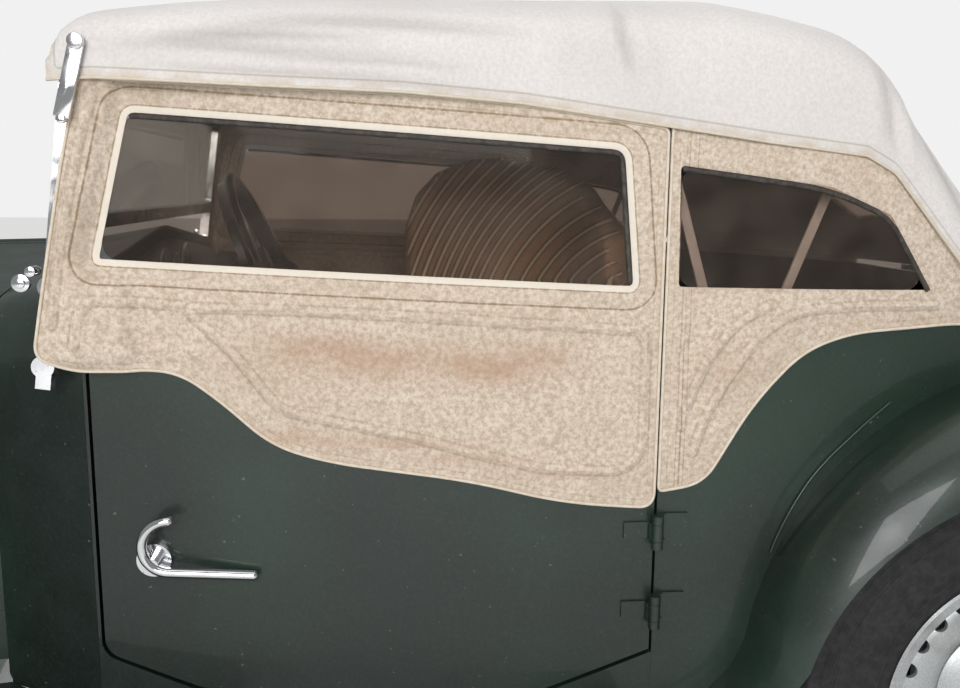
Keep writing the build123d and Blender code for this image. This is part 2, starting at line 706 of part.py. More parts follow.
# Running boards
with BuildPart() as running_boards:
    with BuildSketch(PLAN.offset(BOARD_Z - BOARD_GAUGE)):
        with Locations(((WING_TAIL_X + REAR_WING_FRONT_X) / 2, 0)):
            Rectangle(WING_TAIL_X - REAR_WING_FRONT_X, 2 * (WING_HALF_WIDTH - 8))
        add(body_plan(RUN, BONNET_REAR, 400), mode=Mode.SUBTRACT)
        with Locations((BONNET_REAR + 10, 0)):
            Rectangle(24, 2 * FRONT_WING_INNER + 24, mode=Mode.SUBTRACT)
    extrude(amount=BOARD_GAUGE)
    board_edges = running_boards.edges().filter_by(Axis.X).group_by(Axis.Z)[-1]
    fillet(board_edges.filter_by(lambda e: abs(e.center().Y) > WING_HALF_WIDTH - 45), 8)
running_boards.part.label = "running_boards"
export_step(running_boards.part, "parts/running_boards.step")

# Valances beside the engine
VALANCE_REAR = BONNET_REAR - 3 + RUN
with BuildPart() as valances:
    with BuildSketch(PLAN.offset(BONNET_EDGE_Z - 12)):
        with BuildLine():
            Polyline(
                (VALANCE_REAR, 400),
                (VALANCE_REAR, FRONT_WING_INNER - RUN),
                (2620, FRONT_WING_INNER - RUN),
                (2620, 202),
                (BONNET_FRONT, 202),
                (VALANCE_REAR, 400),
            )
        make_face()
    extrude(amount=2.5)
    valance_side = Plane(origin=(REAR_AXLE_X, FRONT_WING_INNER - RUN, 0), x_dir=(1, 0, 0), z_dir=(0, -1, 0))
    with BuildSketch(valance_side):
        with BuildLine():
            Polyline(
                (VALANCE_REAR, RAIL_TOP - 20),
                (2000, RAIL_TOP - 20),
                (2000, BONNET_EDGE_Z - 11),
                (VALANCE_REAR, BONNET_EDGE_Z - 11),
                close=True,
            )
        make_face()
    extrude(amount=2.5)
    mirror(about=Plane.XZ)
valances.part.label = "valances"
export_step(valances.part, "parts/valances.step")

# Radiator shell, slats and core


def shell_outline(x, shrink, top):
    """Draw the radiator shell's outline, wider at its shoulders than at its foot."""
    with BuildSketch(station(x)) as outline:
        with BuildLine():
            FilletPolyline(
                (-162 + shrink, SHELL_FOOT_Z + shrink),
                (-198 + shrink, 840),
                (0, top - shrink),
                (198 - shrink, 840),
                (162 - shrink, SHELL_FOOT_Z + shrink),
                radius=[80, 170, 80],
            )
            Line((162 - shrink, SHELL_FOOT_Z + shrink), (-162 + shrink, SHELL_FOOT_Z + shrink))
        make_face()
    return outline.sketch


with BuildPart() as radiator_shell:
    add(shell_outline(SHELL_REAR, 0, SHELL_TOP))
    add(shell_outline(SHELL_FRONT, 6, SHELL_TOP - 6))
    loft(ruled=True)
    fillet(radiator_shell.faces().sort_by(Axis.X)[-1].edges(), 9)
    add(shell_outline(SHELL_REAR - 5, 24, SHELL_TOP))
    add(shell_outline(SHELL_FRONT + 5, 26, SHELL_TOP - 6))
    loft(ruled=True, mode=Mode.SUBTRACT)
    with Locations((REAR_AXLE_X + 2540, 0, 944)):
        Cylinder(26, 52)
    with Locations((REAR_AXLE_X + 2540, 0, 976)):
        Cylinder(30, 16)
radiator_shell.part.label = "radiator_shell"
export_step(radiator_shell.part, "parts/radiator_shell.step")

SLAT_COUNT = 26
SLAT_PITCH = 12.4
with BuildPart() as grille_slats:
    for i in range(SLAT_COUNT):
        slat_y = (i - (SLAT_COUNT - 1) / 2) * SLAT_PITCH
        with Locations((REAR_AXLE_X + SHELL_FRONT - 34 - 0.0006 * slat_y * slat_y, slat_y, 660)):
            Box(26, 3.2, 700)
    with Locations((REAR_AXLE_X + SHELL_FRONT - 28, 0, 660)):
        Box(30, 8, 700)
    for bar_z in (470, 800):
        with Locations((REAR_AXLE_X + SHELL_FRONT - 54, 0, bar_z)):
            Box(16, 400, 10)
    add(shell_outline(SHELL_REAR - 10, 24.5, SHELL_TOP))
    add(shell_outline(SHELL_FRONT + 10, 26.5, SHELL_TOP - 6))
    loft(ruled=True, mode=Mode.INTERSECT)
grille_slats.part.label = "grille_slats"
export_step(grille_slats.part, "parts/grille_slats.step")

# Engine, gearbox and radiator core
with BuildPart() as engine_block:
    with Locations((REAR_AXLE_X + 1980, 0, 560)):
        Box(640, 250, 440)
    with Locations((REAR_AXLE_X + 1960, 0, 815)):
        Box(560, 170, 70)
    with Locations((REAR_AXLE_X + 1584, 0, 420)):
        Box(160, 196, 216)
    with Locations((REAR_AXLE_X + 1380, 0, 400)):
        Box(320, 140, 150)
    with Locations((REAR_AXLE_X + 2488, 0, 665)):
        Box(50, 250, 390)
    with Locations((REAR_AXLE_X + 2488, 0, 450)):
        Box(50, 110, 2 * (450 - SHELL_FOOT_Z - 25 - RUN))
engine_block.part.label = "engine_block"
export_step(engine_block.part, "parts/engine_block.step")

# Lamps
LAMP_Y = 330.0
LAMP_Z = 742.0
LAMP_X = 2560.0
LAMP_RADIUS = 92.0
STALK_FOOT = BONNET_EDGE_Z - 12 + 2.5 + RUN
def sphere_middle(pole, edge, radius):
    """Give the half-way point of an arc from its pole to its edge, centred on the axis."""
    centre = (edge * edge + radius * radius - pole * pole) / (2 * (edge - pole))
    reach = centre - pole
    angle = atan2(radius, edge - centre)
    angle = (pi + angle) / 2
    return (centre + reach * cos(angle), reach * sin(angle))


with BuildPart() as headlamps:
    with BuildSketch(Plane(origin=(REAR_AXLE_X + LAMP_X, LAMP_Y, LAMP_Z), x_dir=(1, 0, 0), z_dir=(0, -1, 0))):
        with BuildLine():
            ThreePointArc((-98, 0), sphere_middle(-98, 12, LAMP_RADIUS - 6), (12, LAMP_RADIUS - 6))
            Polyline(
                (12, LAMP_RADIUS - 6),
                (52, LAMP_RADIUS - 6),
                (52, LAMP_RADIUS),
                (70, LAMP_RADIUS),
                (70, LAMP_RADIUS - 12),
                (10, LAMP_RADIUS - 12),
            )
            ThreePointArc((10, LAMP_RADIUS - 12), sphere_middle(-92, 10, LAMP_RADIUS - 12), (-92, 0))
            Line((-92, 0), (-98, 0))
        make_face()
    revolve(axis=Axis((REAR_AXLE_X + LAMP_X, LAMP_Y, LAMP_Z), (1, 0, 0)))
    with Locations((REAR_AXLE_X + LAMP_X - 20, LAMP_Y, (LAMP_Z - 80 + STALK_FOOT) / 2)):
        Cylinder(16, LAMP_Z - 80 - STALK_FOOT)
    mirror(about=Plane.XZ)
headlamps.part.label = "headlamps"
export_step(headlamps.part, "parts/headlamps.step")

LENS_RADIUS = ((LAMP_RADIUS - 12.5) ** 2 + 225) / 30
LENS_CENTRE = 81 - LENS_RADIUS
with BuildPart() as lamp_lenses:
    with BuildSketch(Plane(origin=(REAR_AXLE_X + LAMP_X, LAMP_Y, LAMP_Z), x_dir=(1, 0, 0), z_dir=(0, -1, 0))):
        with BuildLine():
            Line((56, 0), (56, LAMP_RADIUS - 12.5))
            Line((56, LAMP_RADIUS - 12.5), (66, LAMP_RADIUS - 12.5))
            ThreePointArc((66, LAMP_RADIUS - 12.5), (LENS_CENTRE + sqrt(LENS_RADIUS**2 - 1600), 40), (81, 0))
            Line((81, 0), (56, 0))
        make_face()
    revolve(axis=Axis((REAR_AXLE_X + LAMP_X, LAMP_Y, LAMP_Z), (1, 0, 0)))
    mirror(about=Plane.XZ)
lamp_lenses.part.label = "lamp_lenses"
export_step(lamp_lenses.part, "parts/lamp_lenses.step")

SIDE_LAMP_X = 2440.0
SIDE_LAMP_Y = 585.0
TAIL_LAMP_Y = 625.0
TAIL_LAMP_Z = 615.0
with BuildPart() as side_lamps:
    with Locations((REAR_AXLE_X + SIDE_LAMP_X, SIDE_LAMP_Y, FRONT_WING_CREST - 2)):
        Box(64, 16, 30)
    with Locations((REAR_AXLE_X + SIDE_LAMP_X, 0, FRONT_WING_CREST - NOSE_ARC)):
        with Locations((2400 - SIDE_LAMP_X, 0, 0)):
            Cylinder(NOSE_ARC + RUN, 1600, rotation=(90, 0, 0), mode=Mode.SUBTRACT)
    with Locations((REAR_AXLE_X + SIDE_LAMP_X, SIDE_LAMP_Y, FRONT_WING_CREST + 33)):
        Cylinder(27, 74, rotation=(0, 90, 0))
    with Locations((REAR_AXLE_X + SIDE_LAMP_X - 37, SIDE_LAMP_Y, FRONT_WING_CREST + 33)):
        Sphere(26.9)
    with Locations((REAR_AXLE_X - 455, TAIL_LAMP_Y, TAIL_LAMP_Z - 120)):
        Cylinder(31, 84, rotation=(0, 90, 0))
    with Locations((REAR_AXLE_X + REAR_WING_CREST_X, TAIL_LAMP_Y, REAR_WING_CREST - REAR_TAIL_ARC)):
        Cylinder(REAR_TAIL_ARC + RUN, 200, rotation=(90, 0, 0), mode=Mode.SUBTRACT)
    mirror(about=Plane.XZ)
side_lamps.part.label = "side_lamps"
export_step(side_lamps.part, "parts/side_lamps.step")

# Bumpers
with BuildPart() as front_bumper:
    with BuildSketch(Plane(origin=(REAR_AXLE_X, 0, 455), x_dir=(1, 0, 0), z_dir=(0, 0, 1))):
        with BuildLine():
            outer = ThreePointArc((2790, -700), (NOSE - 12, 0), (2790, 700))
            inner = ThreePointArc((2782, -698), (NOSE - 20, 0), (2782, 698))
            Line(outer @ 0, inner @ 0)
            Line(outer @ 1, inner @ 1)
        make_face()
    extrude(amount=90)
    for side in (-1, 1):
        with Locations((REAR_AXLE_X + NOSE - 28, side * 330, 500)):
            Box(56, 44, 190)
        with Locations((REAR_AXLE_X + 2755.4, side * (RAIL_INNER + RAIL_OUTER) / 2, 400)):
            Box(130.2, 12, 40)
        with Locations((REAR_AXLE_X + 2696.3, side * (RAIL_INNER + RAIL_OUTER) / 2, 345)):
            Box(12, 12, 150)
        with Locations((REAR_AXLE_X + 2815, side * (RAIL_INNER + RAIL_OUTER) / 2, 430)):
            Box(12, 12, 100)
front_bumper.part.label = "front_bumper"
export_step(front_bumper.part, "parts/front_bumper.step")

with BuildPart() as rear_bumper:
    with BuildSketch(Plane(origin=(REAR_AXLE_X, 0, 455), x_dir=(1, 0, 0), z_dir=(0, 0, 1))):
        with BuildLine():
            outer = ThreePointArc((-720, -700), (TAIL + 12, 0), (-720, 700))
            inner = ThreePointArc((-712, -698), (TAIL + 20, 0), (-712, 698))
            Line(outer @ 0, inner @ 0)
            Line(outer @ 1, inner @ 1)
        make_face()
    extrude(amount=90)
    for side in (-1, 1):
        with Locations((REAR_AXLE_X + TAIL + 28, side * 340, 500)):
            Box(56, 44, 190)
        with Locations((REAR_AXLE_X - 671, side * (RAIL_INNER + RAIL_OUTER) / 2, 400)):
            Box(222, 12, 40)
rear_bumper.part.label = "rear_bumper"
export_step(rear_bumper.part, "parts/rear_bumper.step")

# Fuel tank and spare wheel
with BuildPart() as fuel_tank:
    with BuildSketch(SIDE):
        with BuildLine():
            FilletPolyline(
                (TUB_REAR - RUN, 872),
                (TUB_REAR - RUN, 420),
                (-475, 420),
                (-440, 872),
                radius=20,
                close=True,
            )
        make_face()
    extrude(amount=440, both=True)
    with Locations((REAR_AXLE_X - 385, -300, 874)):
        Cylinder(34, 34)
fuel_tank.part.label = "fuel_tank"
export_step(fuel_tank.part, "parts/fuel_tank.step")

# Wheels and tyres
def wheel_plane(y):
    """Return the plane whose local x is the radius and local y the outboard direction of a left wheel."""
    return Plane(origin=(0, y, TYRE_RADIUS), x_dir=(1, 0, 0), z_dir=(0, 0, 1))


HALF_RIM = RIM_WIDTH / 2
with BuildPart() as left_wheel:
    with BuildSketch(Plane.XY):
        with BuildLine():
            rim_outer = Polyline(
                (RIM_FLANGE_RADIUS, -HALF_RIM),
                (RIM_FLANGE_RADIUS - 16, -HALF_RIM + 5),
                (RIM_FLANGE_RADIUS - 16, -HALF_RIM + 28),
                (RIM_WELL_RADIUS, -HALF_RIM + 36),
                (RIM_WELL_RADIUS, HALF_RIM - 48),
                (RIM_FLANGE_RADIUS - 16, HALF_RIM - 34),
                (RIM_FLANGE_RADIUS - 16, HALF_RIM - 5),
                (RIM_FLANGE_RADIUS, HALF_RIM),
            )
            rim_inner = Polyline(
                (RIM_FLANGE_RADIUS - 3, -HALF_RIM - 3),
                (RIM_FLANGE_RADIUS - 20, -HALF_RIM + 2),
                (RIM_FLANGE_RADIUS - 20, -HALF_RIM + 26),
                (RIM_WELL_RADIUS - RIM_GAUGE, -HALF_RIM + 33),
                (RIM_WELL_RADIUS - RIM_GAUGE, HALF_RIM - 45),
                (RIM_FLANGE_RADIUS - 20, HALF_RIM - 32),
                (RIM_FLANGE_RADIUS - 20, HALF_RIM - 2),
                (RIM_FLANGE_RADIUS - 3, HALF_RIM + 3),
            )
            Line(rim_outer @ 0, rim_inner @ 0)
            Line(rim_outer @ 1, rim_inner @ 1)
        make_face()
    revolve(axis=Axis.Y)
    with BuildSketch(Plane.XY):
        with BuildLine():
            Polyline(
                (102, 16),
                (100, 12),
                (100, -24),
                (40, -24),
                (40, 12),
                (STUB_RADIUS + BORE_CLEARANCE, 12),
                (STUB_RADIUS + BORE_CLEARANCE, -30),
                (DRUM_RADIUS, -30),
                (DRUM_RADIUS, DRUM_WIDTH - 26),
            )
            ThreePointArc((DRUM_RADIUS, DRUM_WIDTH - 26), (145, 22), (RIM_WELL_RADIUS - 6, 8))
            Polyline(
                (RIM_WELL_RADIUS - 6, 8),
                (RIM_WELL_RADIUS - 1, 8),
                (RIM_WELL_RADIUS - 1, 14),
                (RIM_WELL_RADIUS - 5, 14),
            )
            ThreePointArc((RIM_WELL_RADIUS - 5, 14), (140, 29), (102, 16))
        make_face()
    revolve(axis=Axis.Y)
    with BuildSketch(Plane.XY):
        with BuildLine():
            Line((0, 14), (0, 14 + HUBCAP_HEIGHT))
            ThreePointArc((0, 14 + HUBCAP_HEIGHT), (55, 8 + HUBCAP_HEIGHT), (HUBCAP_RADIUS, 24))
            Line((HUBCAP_RADIUS, 24), (HUBCAP_RADIUS + 6, 20))
            Line((HUBCAP_RADIUS + 6, 20), (HUBCAP_RADIUS + 6, 14.5))
            Line((HUBCAP_RADIUS + 6, 14.5), (0, 14))
        make_face()
    revolve(axis=Axis.Y)
    with BuildSketch(Plane.XZ.offset(-60)):
        with PolarLocations(HOLE_CIRCLE_RADIUS, HOLE_COUNT):
            Circle(HOLE_RADIUS)
    extrude(amount=60, mode=Mode.SUBTRACT)

HALF_TYRE = TYRE_WIDTH / 2
with BuildPart() as left_tyre:
    with BuildSketch(Plane.XY):
        with BuildLine():
            tread = ThreePointArc((TYRE_RADIUS - 9, -52), (TYRE_RADIUS, 0), (TYRE_RADIUS - 9, 52))
            wall_a = ThreePointArc(
                (TYRE_RADIUS - 9, 52), (272, HALF_TYRE), (RIM_FLANGE_RADIUS + 1, HALF_RIM - 2)
            )
            bead_a = Line(wall_a @ 1, (RIM_FLANGE_RADIUS - 15.7, HALF_RIM - 7))
            seat_a = Line(bead_a @ 1, (RIM_FLANGE_RADIUS - 15.7, HALF_RIM - 30))
            cavity = ThreePointArc(seat_a @ 1, (310, 0), (RIM_FLANGE_RADIUS - 15.7, -HALF_RIM + 26))
            seat_b = Line(cavity @ 1, (RIM_FLANGE_RADIUS - 15.7, -HALF_RIM + 7))
            bead_b = Line(seat_b @ 1, (RIM_FLANGE_RADIUS + 1, -HALF_RIM + 2))
            ThreePointArc(bead_b @ 1, (272, -HALF_TYRE), (TYRE_RADIUS - 9, -52))
        make_face()
    revolve(axis=Axis.Y)

WHEEL_PLACES = (
    ("front_left", FRONT_X, TRACK_FRONT / 2, 1),
    ("front_right", FRONT_X, -TRACK_FRONT / 2, -1),
    ("rear_left", REAR_AXLE_X, TRACK_REAR / 2, 1),
    ("rear_right", REAR_AXLE_X, -TRACK_REAR / 2, -1),
)
for place, wheel_x, wheel_y, side in WHEEL_PLACES:
    for kind, source in (("wheel", left_wheel), ("tyre", left_tyre)):
        with BuildPart() as piece:
            if side > 0:
                add(source.part)
            else:
                mirror(source.part, about=Plane.XZ)
        placed = piece.part.moved(Location((wheel_x, wheel_y, TYRE_RADIUS)))
        placed.label = kind + "_" + place
        export_step(placed, "parts/" + kind + "_" + place + ".step")

SPARE_X = REAR_AXLE_X - 562.0
SPARE_Z = 640.0
with BuildPart() as spare_wheel:
    add(left_wheel.part.moved(Location((SPARE_X, 0, SPARE_Z), (0, 0, 90))))
    with BuildSketch(Plane(origin=(SPARE_X, 0, SPARE_Z), x_dir=(0, 1, 0), z_dir=(1, 0, 0))):
        Circle(60)
    extrude(amount=26, both=True, mode=Mode.ADD)
spare_wheel.part.label = "spare_wheel"
export_step(spare_wheel.part, "parts/spare_wheel.step")
with BuildPart() as spare_tyre:
    add(left_tyre.part.moved(Location((SPARE_X, 0, SPARE_Z), (0, 0, 90))))
spare_tyre.part.label = "spare_tyre"
export_step(spare_tyre.part, "parts/spare_tyre.step")

CARRIER_X = -488.0
with BuildPart() as spare_carrier:
    for side in (-1, 1):
        with Locations((REAR_AXLE_X + CARRIER_X + 4.5, side * 150, (393.3 + 660) / 2)):
            Box(9, 28, 660 - 393.3)
        with Locations((REAR_AXLE_X - 464, side * 150, 393.3 + 4)):
            Box(46, 28, 8)
    with Locations((REAR_AXLE_X + CARRIER_X + 4.5, 0, SPARE_Z)):
        Box(9, 328, 60)
    with Locations(((SPARE_X + 30 + RUN + REAR_AXLE_X + CARRIER_X) / 2, 0, SPARE_Z)):
        Cylinder(58, REAR_AXLE_X + CARRIER_X - SPARE_X - 30 - RUN, rotation=(0, 90, 0))
spare_carrier.part.label = "spare_carrier"
export_step(spare_carrier.part, "parts/spare_carrier.step")

# Knuckles
with BuildPart() as knuckle_left:
    with Locations((FRONT_X, KINGPIN_Y, (UPPER_BALL_Z + LOWER_BALL_Z) / 2)):
        Cylinder(KINGPIN_RADIUS, UPPER_BALL_Z - LOWER_BALL_Z)
    with Locations((FRONT_X, KINGPIN_Y, TYRE_RADIUS)):
        Cylinder(24, 100)
    with Locations((FRONT_X, (KINGPIN_Y + TRACK_FRONT / 2 + 11.5) / 2, TYRE_RADIUS)):
        Cylinder(STUB_RADIUS, TRACK_FRONT / 2 + 11.5 - KINGPIN_Y, rotation=(90, 0, 0))
    with Locations((FRONT_X, KINGPIN_Y + 16, TYRE_RADIUS)):
        Cylinder(DRUM_RADIUS - 20, 6, rotation=(90, 0, 0))
    with Locations((FRONT_X - 70, KINGPIN_Y - 16, TYRE_RADIUS - 40)):
        Box(140, 16, 22, rotation=(0, 0, 10))
knuckle_left.part.label = "knuckle_left"
export_step(knuckle_left.part, "parts/knuckle_left.step")
with BuildPart() as knuckle_right:
    mirror(knuckle_left.part, about=Plane.XZ)
knuckle_right.part.label = "knuckle_right"
export_step(knuckle_right.part, "parts/knuckle_right.step")

# Front suspension
with BuildPart() as front_suspension:
    for arm_z in (LOWER_BALL_Z - 16 - RUN, UPPER_BALL_Z + RUN):
        with BuildSketch(Plane(origin=(FRONT_X, 0, arm_z), x_dir=(1, 0, 0), z_dir=(0, 0, 1))):
            with BuildLine():
                Polyline(
                    (-110, RAIL_OUTER - 20),
                    (110, RAIL_OUTER - 20),
                    (24, 520),
                    (16, KINGPIN_Y + 8),
                    (-16, KINGPIN_Y + 8),
                    (-24, 520),
                    close=True,
                )
            make_face()
            with BuildLine():
                Polyline((-62, RAIL_OUTER + 8), (62, RAIL_OUTER + 8), (14, 480), (-14, 480), close=True)
            make_face(mode=Mode.SUBTRACT)
        extrude(amount=16)
    with Locations((FRONT_X, 430, LOWER_BALL_Z + 2)):
        Cylinder(58, 8)
    with Locations((FRONT_X, 430, (LOWER_BALL_Z + 6 + 500) / 2)):
        Cylinder(46, 500 - LOWER_BALL_Z - 6)
        Cylinder(24, 600 - LOWER_BALL_Z - 6, mode=Mode.SUBTRACT)
    with Locations((FRONT_X, (RAIL_OUTER + 455) / 2 - 10, 504)):
        Box(110, 455 - RAIL_OUTER + 20, 10)
    with Locations((FRONT_X, RAIL_OUTER - 14, (RAIL_TOP + 509) / 2)):
        Box(110, 28, 509 - RAIL_TOP)
    with BuildSketch(SIDE):
        with Locations((WHEELBASE, RAIL_TOP - RAIL_DEPTH / 2)):
            Rectangle(400, RAIL_DEPTH + 0.2)
    extrude(amount=-(RAIL_OUTER + 0.1), mode=Mode.SUBTRACT)
    mirror(about=Plane.XZ)
front_suspension.part.label = "front_suspension"
export_step(front_suspension.part, "parts/front_suspension.step")

# Rear axle and its leaf springs
with BuildPart() as rear_axle:
    with Locations((REAR_AXLE_X, 0, TYRE_RADIUS)):
        Cylinder(36, 1130, rotation=(90, 0, 0))
        Cylinder(STUB_RADIUS, TRACK_REAR + 23, rotation=(90, 0, 0))
        Sphere(122)
    with Locations((REAR_AXLE_X + 110, 0, TYRE_RADIUS)):
        Cylinder(56, 120, rotation=(0, 90, 0))
    for side in (-1, 1):
        with Locations((REAR_AXLE_X, side * 562, TYRE_RADIUS)):
            Cylinder(DRUM_RADIUS - 4, 6, rotation=(90, 0, 0))
        spring_side = Plane(origin=(REAR_AXLE_X, side * SPRING_Y - 22, 0), x_dir=(1, 0, 0), z_dir=(0, -1, 0))
        with BuildSketch(spring_side):
            with BuildLine():
                top = ThreePointArc((-480, 338), (0, 300), (480, 338))
                low = ThreePointArc((-480, 328), (0, 262), (480, 328))
                Line(top @ 0, low @ 0)
                Line(top @ 1, low @ 1)
            make_face()
        extrude(amount=-44)
rear_axle.part.label = "rear_axle"
export_step(rear_axle.part, "parts/rear_axle.step")

# Exhaust
EXHAUST_POINTS = (
    (2200, 125.3, 470),
    (2200, 195, 470),
    (2090, 200, 240),
    (1700, 215, 205),
    (700, 240, 205),
    (300, 250, 200),
    (-740, 262, 200),
)
HANGER_Y = RAIL_INNER - RUN - 4
with BuildPart() as exhaust:
    with BuildLine() as route:
        FilletPolyline(
            *[(REAR_AXLE_X + a, -b, c) for a, b, c in EXHAUST_POINTS], radius=[40, 60, 120, 300, 300]
        )
    with BuildSketch(Plane(route.line @ 0, z_dir=route.line % 0)):
        Circle(21)
    sweep(path=route.line)
    with Locations((REAR_AXLE_X + 820, -237, 205)):
        Cylinder(52, 460, rotation=(0, 90, 1.4))
    for hanger_x, pipe_y, rail_foot in ((1450, 222, 250), (420, 246, 250), (-500, 258, 330)):
        with Locations((REAR_AXLE_X + hanger_x, -(pipe_y + HANGER_Y) / 2, 204)):
            Box(14, HANGER_Y - pipe_y, 6)
        with Locations((REAR_AXLE_X + hanger_x, -HANGER_Y, (201 + rail_foot + 40) / 2)):
            Box(14, 8, rail_foot + 40 - 201)
exhaust.part.label = "exhaust"
export_step(exhaust.part, "parts/exhaust.step")

# Dashboard with its column
with BuildPart() as dash_panel:
    with BuildSketch(station(COWL_REAR - 16)):
        with BuildLine():
            FilletPolyline(
                (-500, 720),
                (-500, COWL_SHOULDER - 24),
                (0, COWL_TOP - 26),
                (500, COWL_SHOULDER - 24),
                (500, 720),
                radius=[90, 380, 90],
            )
            Line((500, 720), (-500, 720))
        make_face()
    extrude(amount=14)
    with BuildSketch(wheel_face.offset(-40)):
        Circle(COLUMN_SLEEVE + RUN)
    extrude(amount=-300, mode=Mode.SUBTRACT)
dash_panel.part.label = "dash_panel"
export_step(dash_panel.part, "parts/dash_panel.step")

with BuildPart() as steering_column:
    with BuildSketch(wheel_face.offset(-62)):
        Circle(COLUMN_SLEEVE)
    extrude(amount=-130)
    with BuildSketch(wheel_face.offset(-131)):
        Circle(COLUMN_RADIUS)
    extrude(amount=-470)
steering_column.part.label = "steering_column"
export_step(steering_column.part, "parts/steering_column.step")

with BuildPart() as steering_wheel:
    rim_plane = Plane(origin=STEERING_CENTRE, x_dir=(0, 1, 0), z_dir=COLUMN_AXIS.cross(Vector(0, 1, 0)))
    with BuildSketch(rim_plane) as rim_section:
        with Locations((STEERING_RADIUS - 12, 0)):
            Circle(12)
    revolve(axis=Axis(STEERING_CENTRE, COLUMN_AXIS))
    with BuildSketch(wheel_face.offset(-61.5)):
        Circle(30)
    extrude(amount=64)
    for spoke in range(3):
        with BuildSketch(wheel_face.offset(-26)):
            with Locations(Location((0, 0), 90 + spoke * 120)):
                with Locations(((STEERING_RADIUS - 12) / 2 + 8, 0)):
                    Rectangle(STEERING_RADIUS - 24, 26)
        extrude(amount=5)
    with BuildSketch(wheel_face.offset(-27)):
        Circle(STEERING_RADIUS - 14)
        Circle(STEERING_RADIUS - 34, mode=Mode.SUBTRACT)
    extrude(amount=30, taper=0)
steering_wheel.part.label = "steering_wheel"
export_step(steering_wheel.part, "parts/steering_wheel.step")

# Seats
with BuildPart() as seat_cushions:
    for side in (-1, 1):
        with Locations((REAR_AXLE_X + 820, side * 300, FLOOR_Z + FLOOR_GAUGE + RUN)):
            Box(480, 380, 130, align=(Align.CENTER, Align.CENTER, Align.MIN))
    fillet(seat_cushions.edges().group_by(Axis.Z)[-1], 36)
seat_cushions.part.label = "seat_cushions"
export_step(seat_cushions.part, "parts/seat_cushions.step")

CUSHION_TOP = FLOOR_Z + FLOOR_GAUGE + RUN + 130
with BuildPart() as seat_back:
    with BuildSketch(SIDE):
        with BuildLine():
            FilletPolyline(
                (606, CUSHION_TOP + RUN),
                (566, 552),
                (440, 1010),
                (470, 1070),
                (540, 1080),
                (580, 1010),
                (700, 560),
                (712, CUSHION_TOP + RUN),
                radius=[12, 30, 30, 30, 60, 30],
            )
            Line((712, CUSHION_TOP + RUN), (606, CUSHION_TOP + RUN))
        make_face()
    extrude(amount=490, both=True)
    with BuildSketch(station(400)):
        for side in (-1, 1):
            with BuildLine():
                FilletPolyline(
                    (side * 4, 400), (side * 4, 1096), (side * 480, 1076), (side * 488, 400), radius=[90, 150]
                )
                Line((side * 488, 400), (side * 4, 400))
            make_face()
        with Locations((0, 600)):
            Rectangle(960, 400)
    extrude(amount=400, mode=Mode.INTERSECT)
    with Locations((REAR_AXLE_X + 650, 0, 440)):
        Box(400, 212, 2 * (515 + RUN - 440), mode=Mode.SUBTRACT)
seat_back.part.label = "seat_back"
export_step(seat_back.part, "parts/seat_back.step")

# Windscreen
RAKE = radians(SCREEN_RAKE)
SCREEN = Plane(
    origin=(REAR_AXLE_X + SCREEN_TOP_X, 0, SCREEN_TOP_Z),
    x_dir=(0, 1, 0),
    z_dir=(cos(RAKE), 0, sin(RAKE)),
)
with BuildPart() as windscreen_frame:
    with BuildSketch(SCREEN.offset(-SCREEN_DEPTH / 2)):
        with Locations((0, -SCREEN_BASE / 2)):
            RectangleRounded(2 * SCREEN_HALF + SCREEN_BAR, SCREEN_BASE, 14)
            RectangleRounded(
                2 * SCREEN_HALF - SCREEN_BAR, SCREEN_BASE - 2 * SCREEN_BAR, 10, mode=Mode.SUBTRACT
            )
        for side in (-1, 1):
            with Locations((side * SCREEN_HALF, -SCREEN_LENGTH / 2 - 20)):
                Rectangle(SCREEN_BAR, SCREEN_LENGTH - 40)
    extrude(amount=SCREEN_DEPTH)
    for side in (-1, 1):
        for foot_z in (822, 930):
            foot_x = REAR_AXLE_X + SCREEN_TOP_X + (SCREEN_TOP_Z - foot_z) * sin(RAKE) / cos(RAKE)
            with Locations((foot_x, side * (SCREEN_HALF - 4), foot_z)):
                Cylinder(15, 44, rotation=(90, 0, 0))
    add(hoop(BONNET_REAR - 3, SCUTTLE_HALF + RUN, SILL_Z, BONNET_SHOULDER_REAR, BONNET_TOP_REAR + RUN))
    add(hoop(COWL_REAR, COWL_HALF + RUN, SILL_Z, COWL_SHOULDER, COWL_TOP + RUN))
    loft(ruled=True, mode=Mode.SUBTRACT)
windscreen_frame.part.label = "windscreen_frame"
export_step(windscreen_frame.part, "parts/windscreen_frame.step")

with BuildPart() as windscreen_glass:
    with BuildSketch(SCREEN.offset(-GLASS_GAUGE / 2)):
        with Locations((0, -SCREEN_BASE / 2)):
            RectangleRounded(2 * SCREEN_HALF - SCREEN_BAR - 0.6, SCREEN_BASE - 2 * SCREEN_BAR - 0.6, 9.7)
    extrude(amount=GLASS_GAUGE)
windscreen_glass.part.label = "windscreen_glass"
export_step(windscreen_glass.part, "parts/windscreen_glass.step")


# Hood
def hood_hoop(x, half, shoulder, top, inset):
    """Draw one closed section of the raised hood, flat on top with rounded shoulders."""
    with BuildSketch(station(x)) as section:
        with BuildLine():
            FilletPolyline(
                (-half + inset, 860),
                (-half + inset, shoulder - inset * 0.7),
                (-0.6 * half, top - 12 - inset),
                (0.6 * half, top - 12 - inset),
                (half - inset, shoulder - inset * 0.7),
                (half - inset, 860),
                radius=[22, 120, 120, 22],
            )
            Line((half - inset, 860), (-half + inset, 860))
        make_face()
    return section.sketch


